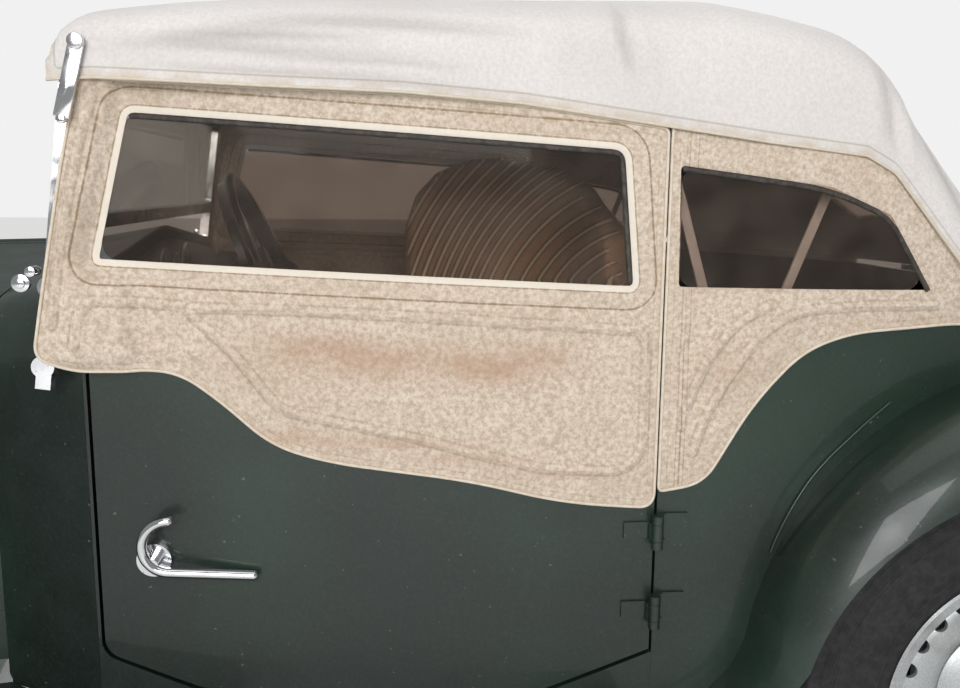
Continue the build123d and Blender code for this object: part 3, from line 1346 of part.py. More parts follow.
def hood_solid(inset, front, rear):
    """Loft the hood between its bows, shrunk by the given inset."""
    with BuildPart() as solid:
        for index, (x, half, shoulder, top) in enumerate(HOOD_SECTIONS):
            shift = front if index == 0 else rear if index == len(HOOD_SECTIONS) - 1 else 0
            add(hood_hoop(x + shift, half, shoulder, top, inset))
        loft(ruled=True)
    return solid.part


hood_shell = hood_solid(0, 0, 0) - hood_solid(HOOD_GAUGE, 12, HOOD_GAUGE)
HOOD_WINDOW_Z = 1072.0
with BuildPart() as hood_canopy:
    add(hood_shell)
    with BuildSketch(SIDE):
        with BuildLine():
            Polyline(*HOOD_EDGE, (-370, 700), (1420, 700), close=True)
        make_face()
    extrude(amount=900, both=True, mode=Mode.SUBTRACT)
    with Locations((REAR_AXLE_X - 110, 0, HOOD_WINDOW_Z)):
        Box(290, 420, 116, mode=Mode.SUBTRACT)
hood_canopy.part.label = "hood_canopy"
export_step(hood_canopy.part, "parts/hood_canopy.step")

with BuildPart() as hood_window:
    add(hood_shell)
    with Locations((REAR_AXLE_X - 110, 0, HOOD_WINDOW_Z)):
        Box(280, 419.4, 115.4, mode=Mode.INTERSECT)
hood_window.part.label = "hood_window"
export_step(hood_window.part, "parts/hood_window.step")

# Folding irons and bows that hold the hood up
BOWS = ((880.0, 614.0, 1244.0, 1345.0), (500.0, 624.0, 1248.0, 1372.0), (200.0, 606.0, 1212.0, 1338.0))
PIVOT = (408, 742)
with BuildPart() as pivot_boss:
    with Locations((REAR_AXLE_X + PIVOT[0], 590, PIVOT[1])):
        Cylinder(14, 64, rotation=(90, 0, 0))
    add(body_prism(-TUB_WALL - RUN, 1200), mode=Mode.INTERSECT)
with BuildPart() as hood_frame:
    for bow_x, half, shoulder, top in BOWS:
        with BuildSketch(station(bow_x - 11)):
            with BuildLine():
                outer = FilletPolyline(
                    (-half + 26, 1150),
                    (-half + 26, shoulder - 20),
                    (-0.6 * half, top - 30),
                    (0.6 * half, top - 30),
                    (half - 26, shoulder - 20),
                    (half - 26, 1150),
                    radius=[40, 110, 110, 40],
                )
                inner = FilletPolyline(
                    (-half + 46, 1150),
                    (-half + 46, shoulder - 28),
                    (-0.6 * half, top - 48),
                    (0.6 * half, top - 48),
                    (half - 46, shoulder - 28),
                    (half - 46, 1150),
                    radius=[30, 100, 100, 30],
                )
                Line(outer @ 0, inner @ 0)
                Line(outer @ 1, inner @ 1)
            make_face()
        extrude(amount=22)
    for side in (-1, 1):
        for index, (top_x, top_z) in enumerate(((500, 1172), (880, 1180), (200, 1172))):
            run = sqrt((top_x - PIVOT[0]) ** 2 + (top_z - PIVOT[1]) ** 2)
            tilt = degrees(asin((top_x - PIVOT[0]) / run))
            with Locations(
                Location(
                    (
                        REAR_AXLE_X + (top_x + PIVOT[0]) / 2,
                        side * (582 - 8 * index),
                        (top_z + PIVOT[1]) / 2,
                    ),
                    (0, tilt, 0),
                )
            ):
                Box(20, 6, run + 10)
        add(pivot_boss.part if side == 1 else mirror(pivot_boss.part, about=Plane.XZ, mode=Mode.PRIVATE))
with BuildPart() as header_rail:
    add(hood_solid(HOOD_GAUGE + RUN, 0, 0))
    with BuildSketch(SCREEN.offset(-18)):
        with Locations((0, 25.4)):
            Rectangle(1090, 50)
    extrude(amount=32, mode=Mode.INTERSECT)
with BuildPart() as hood_frame_all:
    add(hood_frame.part)
    add(header_rail.part)
hood_frame = hood_frame_all
hood_frame.part.label = "hood_frame"
export_step(hood_frame.part, "parts/hood_frame.step")


# Side curtains and their panes
def curtain_shell(front, rear):
    """Bend the curtain cloth round the body's plan, just outboard of the skin."""
    with BuildPart() as shell:
        with BuildSketch(PLAN.offset(590)):
            add(body_plan(CURTAIN_OFFSET + CURTAIN_GAUGE, front, rear))
            add(body_plan(CURTAIN_OFFSET, front + 20, rear - 20), mode=Mode.SUBTRACT)
        extrude(amount=640)
        with Locations((0, 400, 900)):
            Box(4000, 800, 1000, mode=Mode.INTERSECT)
    return shell.part


FRONT_SHELL = curtain_shell(1356, 533)
REAR_SHELL = curtain_shell(529, 40)
CURTAIN_SETS = (
    (
        "front_curtain",
        FRONT_SHELL,
        FRONT_CURTAIN,
        FRONT_WINDOW,
        [20, 200, 200, 200, 8, 24, 150, 150, 100, 60, 60, 60, 18, 30],
    ),
    (
        "rear_curtain",
        REAR_SHELL,
        REAR_CURTAIN,
        REAR_WINDOW,
        [8, 200, 60, 60, 200, 60, 20, 6, 60, 80, 60, 120, 30, 8],
    ),
)
for curtain_name, shell, outline, window, radii in CURTAIN_SETS:
    with BuildPart() as left_curtain:
        add(shell)
        with BuildSketch(SIDE):
            with BuildLine():
                FilletPolyline(*outline, radius=radii, close=True)
            make_face()
            with BuildLine():
                FilletPolyline(*window, radius=22, close=True)
            make_face(mode=Mode.SUBTRACT)
        extrude(amount=-800, mode=Mode.INTERSECT)
        if curtain_name == "rear_curtain":
            add(hood_canopy.part, mode=Mode.SUBTRACT)
    with BuildPart() as left_pane:
        add(shell)
        with BuildSketch(SIDE):
            with BuildLine():
                FilletPolyline(*window, radius=22, close=True)
            make_face()
            offset(amount=-0.3)
        extrude(amount=-800, mode=Mode.INTERSECT)
    for kind, source in (("", left_curtain), ("_pane", left_pane)):
        with BuildPart() as right_piece:
            mirror(source.part, about=Plane.XZ)
        for part_side, piece in (("left", source.part), ("right", right_piece.part)):
            piece.label = curtain_name + kind + "_" + part_side
            export_step(piece, "parts/" + curtain_name + kind + "_" + part_side + ".step")

# Door handles
HANDLE_Y = 586.0
HANDLE_LOOP_X = 1213.5
HANDLE_LOOP_Z = 569.5
HANDLE_LOOP_RADIUS = 37.5
HANDLE_BAR = 7.0
LEVER_TIP = (1100.0, 524.0)
LEVER_LENGTH = sqrt(
    (HANDLE_LOOP_X - LEVER_TIP[0]) ** 2 + (HANDLE_LOOP_Z - HANDLE_LOOP_RADIUS - LEVER_TIP[1]) ** 2
)
LEVER_TILT = degrees(asin((HANDLE_LOOP_X - LEVER_TIP[0]) / LEVER_LENGTH))
with BuildPart() as handle_left:
    with Locations((REAR_AXLE_X + HANDLE_LOOP_X, HANDLE_Y, HANDLE_LOOP_Z)):
        Torus(HANDLE_LOOP_RADIUS, HANDLE_BAR, rotation=(90, 0, 0))
    with Locations((REAR_AXLE_X + HANDLE_LOOP_X - 50, HANDLE_Y, HANDLE_LOOP_Z)):
        Box(100, 40, 120, mode=Mode.SUBTRACT)
    for end_x, end_z in (
        (HANDLE_LOOP_X, HANDLE_LOOP_Z + HANDLE_LOOP_RADIUS),
        (HANDLE_LOOP_X, HANDLE_LOOP_Z - HANDLE_LOOP_RADIUS),
        LEVER_TIP,
    ):
        with Locations((REAR_AXLE_X + end_x, HANDLE_Y, end_z)):
            Sphere(HANDLE_BAR)
    with Locations(
        (
            REAR_AXLE_X + (HANDLE_LOOP_X + LEVER_TIP[0]) / 2,
            HANDLE_Y,
            (HANDLE_LOOP_Z - HANDLE_LOOP_RADIUS + LEVER_TIP[1]) / 2,
        )
    ):
        Cylinder(HANDLE_BAR, LEVER_LENGTH, rotation=(0, LEVER_TILT, 0))
    with Locations((REAR_AXLE_X + 1240, HANDLE_Y - 26, 543)):
        Cylinder(11, 56, rotation=(90, 0, 0))
    with Locations((REAR_AXLE_X + 1240, HANDLE_Y - 40, 543)):
        Cylinder(24, 40, rotation=(90, 0, 0))
    with BuildSketch(PLAN.offset(480)):
        add(body_plan(0.02, DOOR_FRONT, DOOR_REAR))
    extrude(amount=160, mode=Mode.SUBTRACT)
with BuildPart() as handle_right:
    mirror(handle_left.part, about=Plane.XZ)
for handle, part_side in ((handle_left, "left"), (handle_right, "right")):
    handle.part.label = "door_handle_" + part_side
    export_step(handle.part, "parts/door_handle_" + part_side + ".step")
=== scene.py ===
"""Dresses the open two-seat roadster with its cloth, leather, paint and bright parts."""

from __future__ import annotations

import json
import logging
import math
from collections.abc import Callable, Sequence
from dataclasses import dataclass, field
from enum import Enum

import bpy
import numpy as np
from mathutils import Matrix, Vector, noise

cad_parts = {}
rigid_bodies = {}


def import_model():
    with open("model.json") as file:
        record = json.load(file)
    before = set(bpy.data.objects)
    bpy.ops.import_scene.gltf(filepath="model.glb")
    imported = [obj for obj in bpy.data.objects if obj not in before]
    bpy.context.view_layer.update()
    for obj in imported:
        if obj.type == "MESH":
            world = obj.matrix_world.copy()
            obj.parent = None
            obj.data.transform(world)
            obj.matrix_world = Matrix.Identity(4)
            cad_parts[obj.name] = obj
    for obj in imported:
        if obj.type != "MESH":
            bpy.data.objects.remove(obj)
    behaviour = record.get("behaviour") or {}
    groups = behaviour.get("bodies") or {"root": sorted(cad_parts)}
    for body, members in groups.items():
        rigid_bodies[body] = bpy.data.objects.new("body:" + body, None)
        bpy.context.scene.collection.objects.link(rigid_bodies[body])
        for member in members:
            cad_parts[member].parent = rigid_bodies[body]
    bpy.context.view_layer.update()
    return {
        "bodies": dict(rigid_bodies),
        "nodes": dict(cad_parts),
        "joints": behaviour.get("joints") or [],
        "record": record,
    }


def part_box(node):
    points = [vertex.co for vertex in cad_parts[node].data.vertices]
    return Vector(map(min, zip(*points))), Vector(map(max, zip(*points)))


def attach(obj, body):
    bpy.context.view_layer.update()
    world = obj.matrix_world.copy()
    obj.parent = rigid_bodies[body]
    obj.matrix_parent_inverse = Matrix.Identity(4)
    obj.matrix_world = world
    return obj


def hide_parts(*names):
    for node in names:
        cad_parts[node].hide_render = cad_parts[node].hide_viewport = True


LOG = logging.getLogger("roadster")
Point = tuple[float, float]
AXLE_X = -1.030


class Hand(Enum):
    """The side of the car that a piece is on."""

    LEFT = 1
    RIGHT = -1

    @property
    def word(self) -> str:
        """Give the side's name in lower case."""
        return self.name.lower()


def at(ahead: float, left: float, up: float) -> Vector:
    """Turn millimetres ahead of the rear axle, left and up into the frame's metres.

    Args:
        ahead: Distance ahead of the rear axle.
        left: Distance to the car's left.
        up: Height above the ground.

    Returns:
        The point in metres.
    """
    return Vector((ahead / 1000 + AXLE_X, left / 1000, up / 1000))


def linear(colour: str) -> tuple[float, float, float, float]:
    """Turn an sRGB hex colour into linear light.

    Args:
        colour: Six hex digits, with or without a leading mark.

    Returns:
        Red, green, blue and a full alpha.
    """
    digits = colour.lstrip("#")
    parts = [int(digits[i : i + 2], 16) / 255 for i in (0, 2, 4)]
    light = [c / 12.92 if c <= 0.04045 else ((c + 0.055) / 1.055) ** 2.4 for c in parts]
    return (light[0], light[1], light[2], 1.0)


def add_node(
    tree: bpy.types.NodeTree,
    kind: str,
    inputs: dict[int | str, object] | None = None,
    stops: Sequence[tuple[float, str]] = (),
    **settings: object,
) -> bpy.types.Node:
    """Add a shader node with its settings, values and links.

    Args:
        tree: The material's node tree.
        kind: The node's type name.
        inputs: Socket names or numbers, each with a value or an output socket.
        stops: Places and sRGB colours on a colour ramp.
        settings: The node's own options.

    Returns:
        The new node.
    """
    node = tree.nodes.new(kind)
    for key, value in settings.items():
        setattr(node, key, value)
    for key, value in (inputs or {}).items():
        if isinstance(value, bpy.types.NodeSocket):
            tree.links.new(value, node.inputs[key])
        else:
            node.inputs[key].default_value = value
    if stops:
        ramp = node.color_ramp
        while len(ramp.elements) < len(stops):
            ramp.elements.new(0.5)
        for element, (place, colour) in zip(ramp.elements, stops):
            element.position = place
            element.color = linear(colour)
    return node


# Finishes


@dataclass(frozen=True)
class Finish:
    """A surface finish that becomes one node material."""

    name: str
    slot: str

    def make(self) -> bpy.types.Material:
        """Build the finish's material, or give the one already built."""
        found = bpy.data.materials.get(self.name)
        if found:
            return found
        material = bpy.data.materials.new(self.name)
        material.use_nodes = True
        tree = material.node_tree
        shader = tree.nodes["Principled BSDF"]
        self.dress(tree, shader)
        return material

    def dress(self, tree: bpy.types.NodeTree, shader: bpy.types.Node) -> None:
        """Set the shader's sockets; each finish has its own."""
        raise NotImplementedError


def object_points(tree: bpy.types.NodeTree) -> bpy.types.NodeSocket:
    """Give the piece's own coordinates, in metres."""
    return add_node(tree, "ShaderNodeTexCoord").outputs["Object"]


def speckle(
    tree: bpy.types.NodeTree, grain_mm: float, detail: float = 2.0, roughness: float = 0.5
) -> bpy.types.NodeSocket:
    """Give a noise whose grains have a real size.

    Args:
        tree: The material's node tree.
        grain_mm: The size of a grain.
        detail: How many finer layers lie on it.
        roughness: How strong those layers are.

    Returns:
        The noise's value socket.
    """
    values = {"Vector": object_points(tree), "Scale": 1000 / grain_mm, "Detail": detail, "Roughness": roughness}
    return add_node(tree, "ShaderNodeTexNoise", values).outputs["Fac"]


def between(
    tree: bpy.types.NodeTree, amount: object, first: object, second: object, way: str = "MIX"
) -> bpy.types.NodeSocket:
    """Mix two colours.

    Args:
        tree: The material's node tree.
        amount: The share of the second colour, a number or a socket.
        first: The first colour or socket.
        second: The second colour or socket.
        way: How they mix.

    Returns:
        The mixed colour's socket.
    """
    return add_node(
        tree, "ShaderNodeMix", {0: amount, 6: first, 7: second}, data_type="RGBA", blend_type=way
    ).outputs[2]


def remap(
    tree: bpy.types.NodeTree, value: object, low: float, high: float, to_low: float = 0.0, to_high: float = 1.0
) -> bpy.types.NodeSocket:
    """Stretch a value from one range to another, smoothly and clamped.

    Args:
        tree: The material's node tree.
        value: The value's socket.
        low: Where the range starts.
        high: Where the range ends.
        to_low: What the start becomes.
        to_high: What the end becomes.

    Returns:
        The new value's socket.
    """
    return add_node(
        tree,
        "ShaderNodeMapRange",
        {"Value": value, "From Min": low, "From Max": high, "To Min": to_low, "To Max": to_high},
        interpolation_type="SMOOTHSTEP",
    ).outputs["Result"]


def dent(
    tree: bpy.types.NodeTree, shader: bpy.types.Node, height: object, depth_mm: float, strength: float = 1.0
) -> None:
    """Bump the shader by a height socket, with a real depth."""
    values = {"Height": height, "Distance": depth_mm / 1000, "Strength": strength}
    bump = add_node(tree, "ShaderNodeBump", values)
    tree.links.new(bump.outputs["Normal"], shader.inputs["Normal"])


@dataclass(frozen=True)
class Coachpaint(Finish):
    """Cellulose coach paint, sprayed and flatted: a deep colour under a soft gloss, with orange peel."""

    colour: str = "#1A3025"
    deep: str = "#131D19"
    dust: str = "#3A413B"
    roughness: float = 0.36

    def dress(self, tree: bpy.types.NodeTree, shader: bpy.types.Node) -> None:
        """Vary the depth of colour, and add dust flecks and orange peel."""
        depth = remap(tree, speckle(tree, 420, 2), 0.35, 0.65)
        tone = between(tree, depth, linear(self.colour), linear(self.deep))
        grain = remap(tree, speckle(tree, 5, 3, 0.7), 0.42, 0.72, 0.0, 0.22)
        tone = between(tree, grain, tone, linear(self.dust))
        flecks = remap(tree, speckle(tree, 9, 1), 0.74, 0.80, 0.0, 0.35)
        tone = between(tree, flecks, tone, linear("#77806F"))
        tree.links.new(tone, shader.inputs["Base Color"])
        tree.links.new(remap(tree, speckle(tree, 60, 3), 0.3, 0.8, self.roughness, self.roughness + 0.16),
                       shader.inputs["Roughness"])
        shader.inputs["Coat Weight"].default_value = 0.3
        dent(tree, shader, speckle(tree, 3.5, 2), 0.05, 0.35)


@dataclass(frozen=True)
class ChassisPaint(Finish):
    """Brushed black chassis enamel with road grime in it."""

    def dress(self, tree: bpy.types.NodeTree, shader: bpy.types.Node) -> None:
        """Mix dirt over black by large and small noise."""
        grime = remap(tree, speckle(tree, 90, 5, 0.6), 0.42, 0.72, 0.0, 0.75)
        tone = between(tree, grime, linear("#1B1B1C"), linear("#3B342B"))
        tree.links.new(tone, shader.inputs["Base Color"])
        tree.links.new(remap(tree, speckle(tree, 40, 3), 0.3, 0.7, 0.42, 0.75), shader.inputs["Roughness"])
        dent(tree, shader, speckle(tree, 6, 3), 0.2, 0.4)


@dataclass(frozen=True)
class ChromePlate(Finish):
    """Bright chrome plate with a faint haze and pitting."""

    def dress(self, tree: bpy.types.NodeTree, shader: bpy.types.Node) -> None:
        """Keep a near mirror with pits that roughen and darken it."""
        pits = remap(tree, speckle(tree, 4, 2), 0.66, 0.75, 0.0, 0.55)
        tree.links.new(between(tree, pits, linear("#DCDDE0"), linear("#7D7468")), shader.inputs["Base Color"])
        tree.links.new(remap(tree, speckle(tree, 25, 4), 0.35, 0.75, 0.06, 0.22), shader.inputs["Roughness"])
        shader.inputs["Metallic"].default_value = 1.0


@dataclass(frozen=True)
class SilverEnamel(Finish):
    """Aluminium-flake wheel enamel, stove dried, with brake dust near its edges."""

    colour: str = "#A9ACAE"

    def dress(self, tree: bpy.types.NodeTree, shader: bpy.types.Node) -> None:
        """Lay fine flake and dust over grey."""
        flake = remap(tree, speckle(tree, 1.6, 1), 0.4, 0.7, 0.0, 0.5)
        tone = between(tree, flake, linear(self.colour), linear("#D2D4D6"))
        dust = remap(tree, speckle(tree, 70, 4), 0.5, 0.8, 0.0, 0.6)
        tree.links.new(between(tree, dust, tone, linear("#6E675E")), shader.inputs["Base Color"])
        shader.inputs["Metallic"].default_value = 0.55
        shader.inputs["Roughness"].default_value = 0.38
        dent(tree, shader, speckle(tree, 5, 2), 0.05, 0.3)


@dataclass(frozen=True)
class TyreRubber(Finish):
    """Vulcanised black tyre rubber, bloomed grey on the sidewall."""

    def dress(self, tree: bpy.types.NodeTree, shader: bpy.types.Node) -> None:
        """Grey the black with bloom and road dust."""
        bloom = remap(tree, speckle(tree, 14, 5, 0.7), 0.36, 0.7, 0.0, 0.8)
        tone = between(tree, bloom, linear("#131315"), linear("#2B2A2D"))
        tree.links.new(tone, shader.inputs["Base Color"])
        shader.inputs["Roughness"].default_value = 0.78
        dent(tree, shader, speckle(tree, 2.5, 3), 0.15, 0.5)


@dataclass(frozen=True)
class HoodDuck(Finish):
    """Double-texture cotton duck, woven of 1 mm threads that are drawn 2.4 mm wide so that they show."""

    light: str = "#D6D2D0"
    shade: str = "#CBC6C3"
    soot: str = "#AFAAA6"
    tan: str = "#B7A68F"

    def dress(self, tree: bpy.types.NodeTree, shader: bpy.types.Node) -> None:
        """Show a fine even mottle, painted shade in the folds and tan dirt at the hem."""
        mottle = remap(tree, speckle(tree, 5, 3, 0.7), 0.30, 0.70)
        cloth = between(tree, mottle, linear(self.light), linear(self.shade))
        large = remap(tree, speckle(tree, 260, 2), 0.38, 0.72, 0.0, 0.28)
        cloth = between(tree, large, cloth, linear(self.soot))
        # Painted shade: the cloth is greyed along its folds, most in the sunken ones.
        crease = add_node(tree, "ShaderNodeAttribute", attribute_name="crease").outputs["Fac"]
        cloth = between(tree, remap(tree, crease, 0.0, 1.0, 0.0, 0.55), cloth, linear("#7C746B"))
        hem = add_node(tree, "ShaderNodeAttribute", attribute_name="hem_mm").outputs["Fac"]
        reach = remap(tree, hem, 0, 20, 0.65, 0.0)
        patches = remap(tree, speckle(tree, 32, 4), 0.3, 0.7)
        dirt = add_node(tree, "ShaderNodeMath", {0: reach, 1: patches}, operation="MULTIPLY").outputs[0]
        cloth = between(tree, dirt, cloth, linear(self.tan))
        past = add_node(tree, "ShaderNodeMath", {0: hem, 1: 13.0}, operation="SUBTRACT").outputs[0]
        stitch = add_node(tree, "ShaderNodeMath", {0: past}, operation="ABSOLUTE").outputs[0]
        row = remap(tree, stitch, 0.6, 2.0, 0.4, 0.0)
        cloth = between(tree, row, cloth, linear("#857A6B"))
        tree.links.new(cloth, shader.inputs["Base Color"])
        shader.inputs["Roughness"].default_value = 0.94
        shader.inputs["Sheen Weight"].default_value = 0.15
        height: object = 0.0
        for way in ("X", "Z"):
            values = {"Vector": object_points(tree), "Scale": 130.0, "Distortion": 1.2}
            threads = add_node(tree, "ShaderNodeTexWave", values, wave_type="BANDS", bands_direction=way)
            height = add_node(tree, "ShaderNodeMath", {0: threads.outputs["Fac"], 1: height}, operation="ADD").outputs[0]
        height = add_node(tree, "ShaderNodeMath", {0: height, 1: 0.25}, operation="MULTIPLY").outputs[0]
        height = add_node(tree, "ShaderNodeMath", {0: height, 1: speckle(tree, 7, 3, 0.6)}, operation="ADD").outputs[0]
        dent(tree, shader, height, 0.6, 0.45)


@dataclass(frozen=True)
class CurtainDrill(Finish):
    """Beige cotton drill, doubled and stitched in rows; its seams follow distances kept on the mesh."""

    light: str = "#D3C5B6"
    shade: str = "#AD9C89"
    thread: str = "#8A755B"
    tape: str = "#DDD5C8"

    def dress(self, tree: bpy.types.NodeTree, shader: bpy.types.Node) -> None:
        """Draw seams, bindings and stains from the mesh's own distances, with painted shade beside each welt."""
        mottle = remap(tree, speckle(tree, 7, 4, 0.7), 0.32, 0.68)
        cloth = between(tree, mottle, linear(self.light), linear(self.shade))
        large = remap(tree, speckle(tree, 120, 3), 0.4, 0.7, 0.0, 0.25)
        cloth = between(tree, large, cloth, linear("#AE9C88"))
        stain = add_node(tree, "ShaderNodeAttribute", attribute_name="stain").outputs["Fac"]
        blotch = remap(tree, speckle(tree, 80, 5, 0.6), 0.2, 0.8, 0.25, 0.85)
        patch = add_node(tree, "ShaderNodeMath", {0: stain, 1: blotch}, operation="MULTIPLY").outputs[0]
        cloth = between(tree, patch, cloth, linear("#A5826B"))
        window = add_node(tree, "ShaderNodeAttribute", attribute_name="window_mm").outputs["Fac"]
        cloth = between(tree, remap(tree, window, 8.0, 9.5, 0.85, 0.0), cloth, linear(self.tape))
        # The welt_mm row is painted shade beside each raised welt; the other rows are stitch lines and seams.
        rows = (("window_mm", 9.8, 0.9, 0.75), ("window_mm", 33.0, 1.3, 0.95), ("seam_mm", 0.0, 1.1, 0.8),
                ("seam_mm", 6.0, 0.8, 0.5), ("edge_mm", 11.0, 0.7, 0.3), ("welt_mm", 7.5, 1.6, 0.30))
        dark: object = 0.0
        for name, offset, width, weight in rows:
            reach = add_node(tree, "ShaderNodeAttribute", attribute_name=name).outputs["Fac"]
            gap = add_node(tree, "ShaderNodeMath", {0: reach, 1: offset}, operation="SUBTRACT").outputs[0]
            gap = add_node(tree, "ShaderNodeMath", {0: gap}, operation="ABSOLUTE").outputs[0]
            line = remap(tree, gap, width * 0.4, width * 1.6, weight, 0.0)
            dark = add_node(tree, "ShaderNodeMath", {0: dark, 1: line}, operation="MAXIMUM").outputs[0]
        worn = remap(tree, speckle(tree, 7, 2), 0.25, 0.6, 0.45, 1.0)
        broken = add_node(tree, "ShaderNodeMath", {0: dark, 1: worn}, operation="MULTIPLY").outputs[0]
        cloth = between(tree, broken, cloth, linear(self.thread))
        tree.links.new(cloth, shader.inputs["Base Color"])
        shader.inputs["Roughness"].default_value = 0.93
        shader.inputs["Sheen Weight"].default_value = 0.2
        grain = speckle(tree, 4, 4, 0.7)
        height = add_node(tree, "ShaderNodeMath", {0: grain, 1: dark}, operation="SUBTRACT").outputs[0]
        dent(tree, shader, height, 0.8, 0.55)


@dataclass(frozen=True)
class Binding(Finish):
    """Folded cotton tape, paler and smoother than the drill that it edges."""

    colour: str = "#D3C9BB"

    def dress(self, tree: bpy.types.NodeTree, shader: bpy.types.Node) -> None:
        """Mottle the tape with fine wear."""
        wear = remap(tree, speckle(tree, 10, 4, 0.7), 0.35, 0.7, 0.0, 0.7)
        tree.links.new(between(tree, wear, linear(self.colour), linear("#C3B196")), shader.inputs["Base Color"])
        shader.inputs["Roughness"].default_value = 0.9
        dent(tree, shader, speckle(tree, 3, 3), 0.4, 0.5)


@dataclass(frozen=True)
class ClearVinyl(Finish):
    """Calendered clear vinyl sheet, gone smoky and hazed by years of rubbing, with soft ripples."""

    def dress(self, tree: bpy.types.NodeTree, shader: bpy.types.Node) -> None:
        """Let light through under a thin grey-brown haze, and cast only a light shadow."""
        shader.inputs["Base Color"].default_value = linear("#ADA198")
        haze = remap(tree, speckle(tree, 60, 4), 0.35, 0.7, 0.965, 0.935)
        tree.links.new(haze, shader.inputs["Transmission Weight"])
        shader.inputs["Roughness"].default_value = 0.05
        shader.inputs["IOR"].default_value = 1.12
        dent(tree, shader, speckle(tree, 90, 2), 2.0, 0.25)
        clear = add_node(tree, "ShaderNodeBsdfTransparent", {"Color": linear("#D0CAC2")})
        ray = add_node(tree, "ShaderNodeLightPath").outputs["Is Shadow Ray"]
        mix = add_node(tree, "ShaderNodeMixShader", {0: ray, 1: shader.outputs[0], 2: clear.outputs[0]})
        tree.links.new(mix.outputs[0], tree.nodes["Material Output"].inputs["Surface"])


@dataclass(frozen=True)
class ScreenGlass(Finish):
    """Plain laminated screen glass."""

    tint: str = "#DCE4E2"
    roughness: float = 0.02

    def dress(self, tree: bpy.types.NodeTree, shader: bpy.types.Node) -> None:
        """Let light through clearly and cast only a light shadow."""
        shader.inputs["Base Color"].default_value = linear(self.tint)
        shader.inputs["Transmission Weight"].default_value = 1.0
        shader.inputs["Roughness"].default_value = self.roughness
        shader.inputs["IOR"].default_value = 1.45
        dent(tree, shader, speckle(tree, 240, 1), 0.5, 0.1)
        clear = add_node(tree, "ShaderNodeBsdfTransparent", {"Color": linear(self.tint)})
        ray = add_node(tree, "ShaderNodeLightPath").outputs["Is Shadow Ray"]
        mix = add_node(tree, "ShaderNodeMixShader", {0: ray, 1: shader.outputs[0], 2: clear.outputs[0]})
        tree.links.new(mix.outputs[0], tree.nodes["Material Output"].inputs["Surface"])


@dataclass(frozen=True)
class PipedHide(Finish):
    """Tan upholstery hide in sewn pleats, with painted shade in the channels and light piping on the ridges."""

    hide: str = "#B8997A"
    worn: str = "#D0B292"
    piping: str = "#FFF4E0"

    def dress(self, tree: bpy.types.NodeTree, shader: bpy.types.Node) -> None:
        """Colour the pleats from the distance to the nearest piping line."""
        wear = remap(tree, speckle(tree, 70, 5, 0.6), 0.35, 0.7)
        tone = between(tree, wear, linear(self.hide), linear(self.worn))
        number = add_node(tree, "ShaderNodeAttribute", attribute_name="pleat").outputs["Fac"]
        pitch = add_node(tree, "ShaderNodeAttribute", attribute_name="pitch_mm").outputs["Fac"]
        share = add_node(tree, "ShaderNodeMath", {0: number, 1: 0.5}, operation="ADD").outputs[0]
        share = add_node(tree, "ShaderNodeMath", {0: share}, operation="FRACT").outputs[0]
        share = add_node(tree, "ShaderNodeMath", {0: share, 1: 0.5}, operation="SUBTRACT").outputs[0]
        share = add_node(tree, "ShaderNodeMath", {0: share}, operation="ABSOLUTE").outputs[0]
        line = add_node(tree, "ShaderNodeMath", {0: share, 1: pitch}, operation="MULTIPLY").outputs[0]
        # Painted shade: the hide is darkened within 9 mm of each piping line, down in the channels.
        tone = between(tree, remap(tree, line, 2.0, 9.0, 0.75, 0.0), tone, linear("#3F3024"))
        pipe = remap(tree, line, 2.0, 3.2, 1.0, 0.0)
        tone = between(tree, pipe, tone, linear(self.piping))
        tree.links.new(tone, shader.inputs["Base Color"])
        shader.inputs["Roughness"].default_value = 0.5
        dent(tree, shader, pipe, 2.5, 0.8)


@dataclass(frozen=True)
class PlainFinish(Finish):
    """A plain material with two tones of mottle, for the simpler stuffs of the car."""

    first: str = "#808080"
    second: str = "#606060"
    grain_mm: float = 20.0
    roughness: float = 0.6
    metallic: float = 0.0
    depth_mm: float = 0.2
    coat: float = 0.0

    def dress(self, tree: bpy.types.NodeTree, shader: bpy.types.Node) -> None:
        """Mix the two tones by grain and bump them a little."""
        share = remap(tree, speckle(tree, self.grain_mm, 5, 0.65), 0.35, 0.68)
        tree.links.new(between(tree, share, linear(self.first), linear(self.second)), shader.inputs["Base Color"])
        shader.inputs["Roughness"].default_value = self.roughness
        shader.inputs["Metallic"].default_value = self.metallic
        if self.coat:
            shader.inputs["Coat Weight"].default_value = self.coat
        dent(tree, shader, speckle(tree, max(self.grain_mm / 4, 2.0), 3), self.depth_mm, 0.5)


@dataclass(frozen=True)
class Walnut(Finish):
    """Walnut veneer, cut along the grain and varnished."""

    def dress(self, tree: bpy.types.NodeTree, shader: bpy.types.Node) -> None:
        """Stretch a noise along the dash to make the grain."""
        turn = add_node(tree, "ShaderNodeMapping", {"Vector": object_points(tree), "Scale": (4.0, 4.0, 40.0)})
        grain = add_node(tree, "ShaderNodeTexNoise", {"Vector": turn.outputs[0], "Scale": 5.0, "Detail": 8.0,
                                                      "Distortion": 1.2}).outputs["Fac"]
        tone = between(tree, remap(tree, grain, 0.35, 0.65), linear("#5B3A22"), linear("#2E1B10"))
        tree.links.new(tone, shader.inputs["Base Color"])
        shader.inputs["Roughness"].default_value = 0.35
        shader.inputs["Coat Weight"].default_value = 0.5


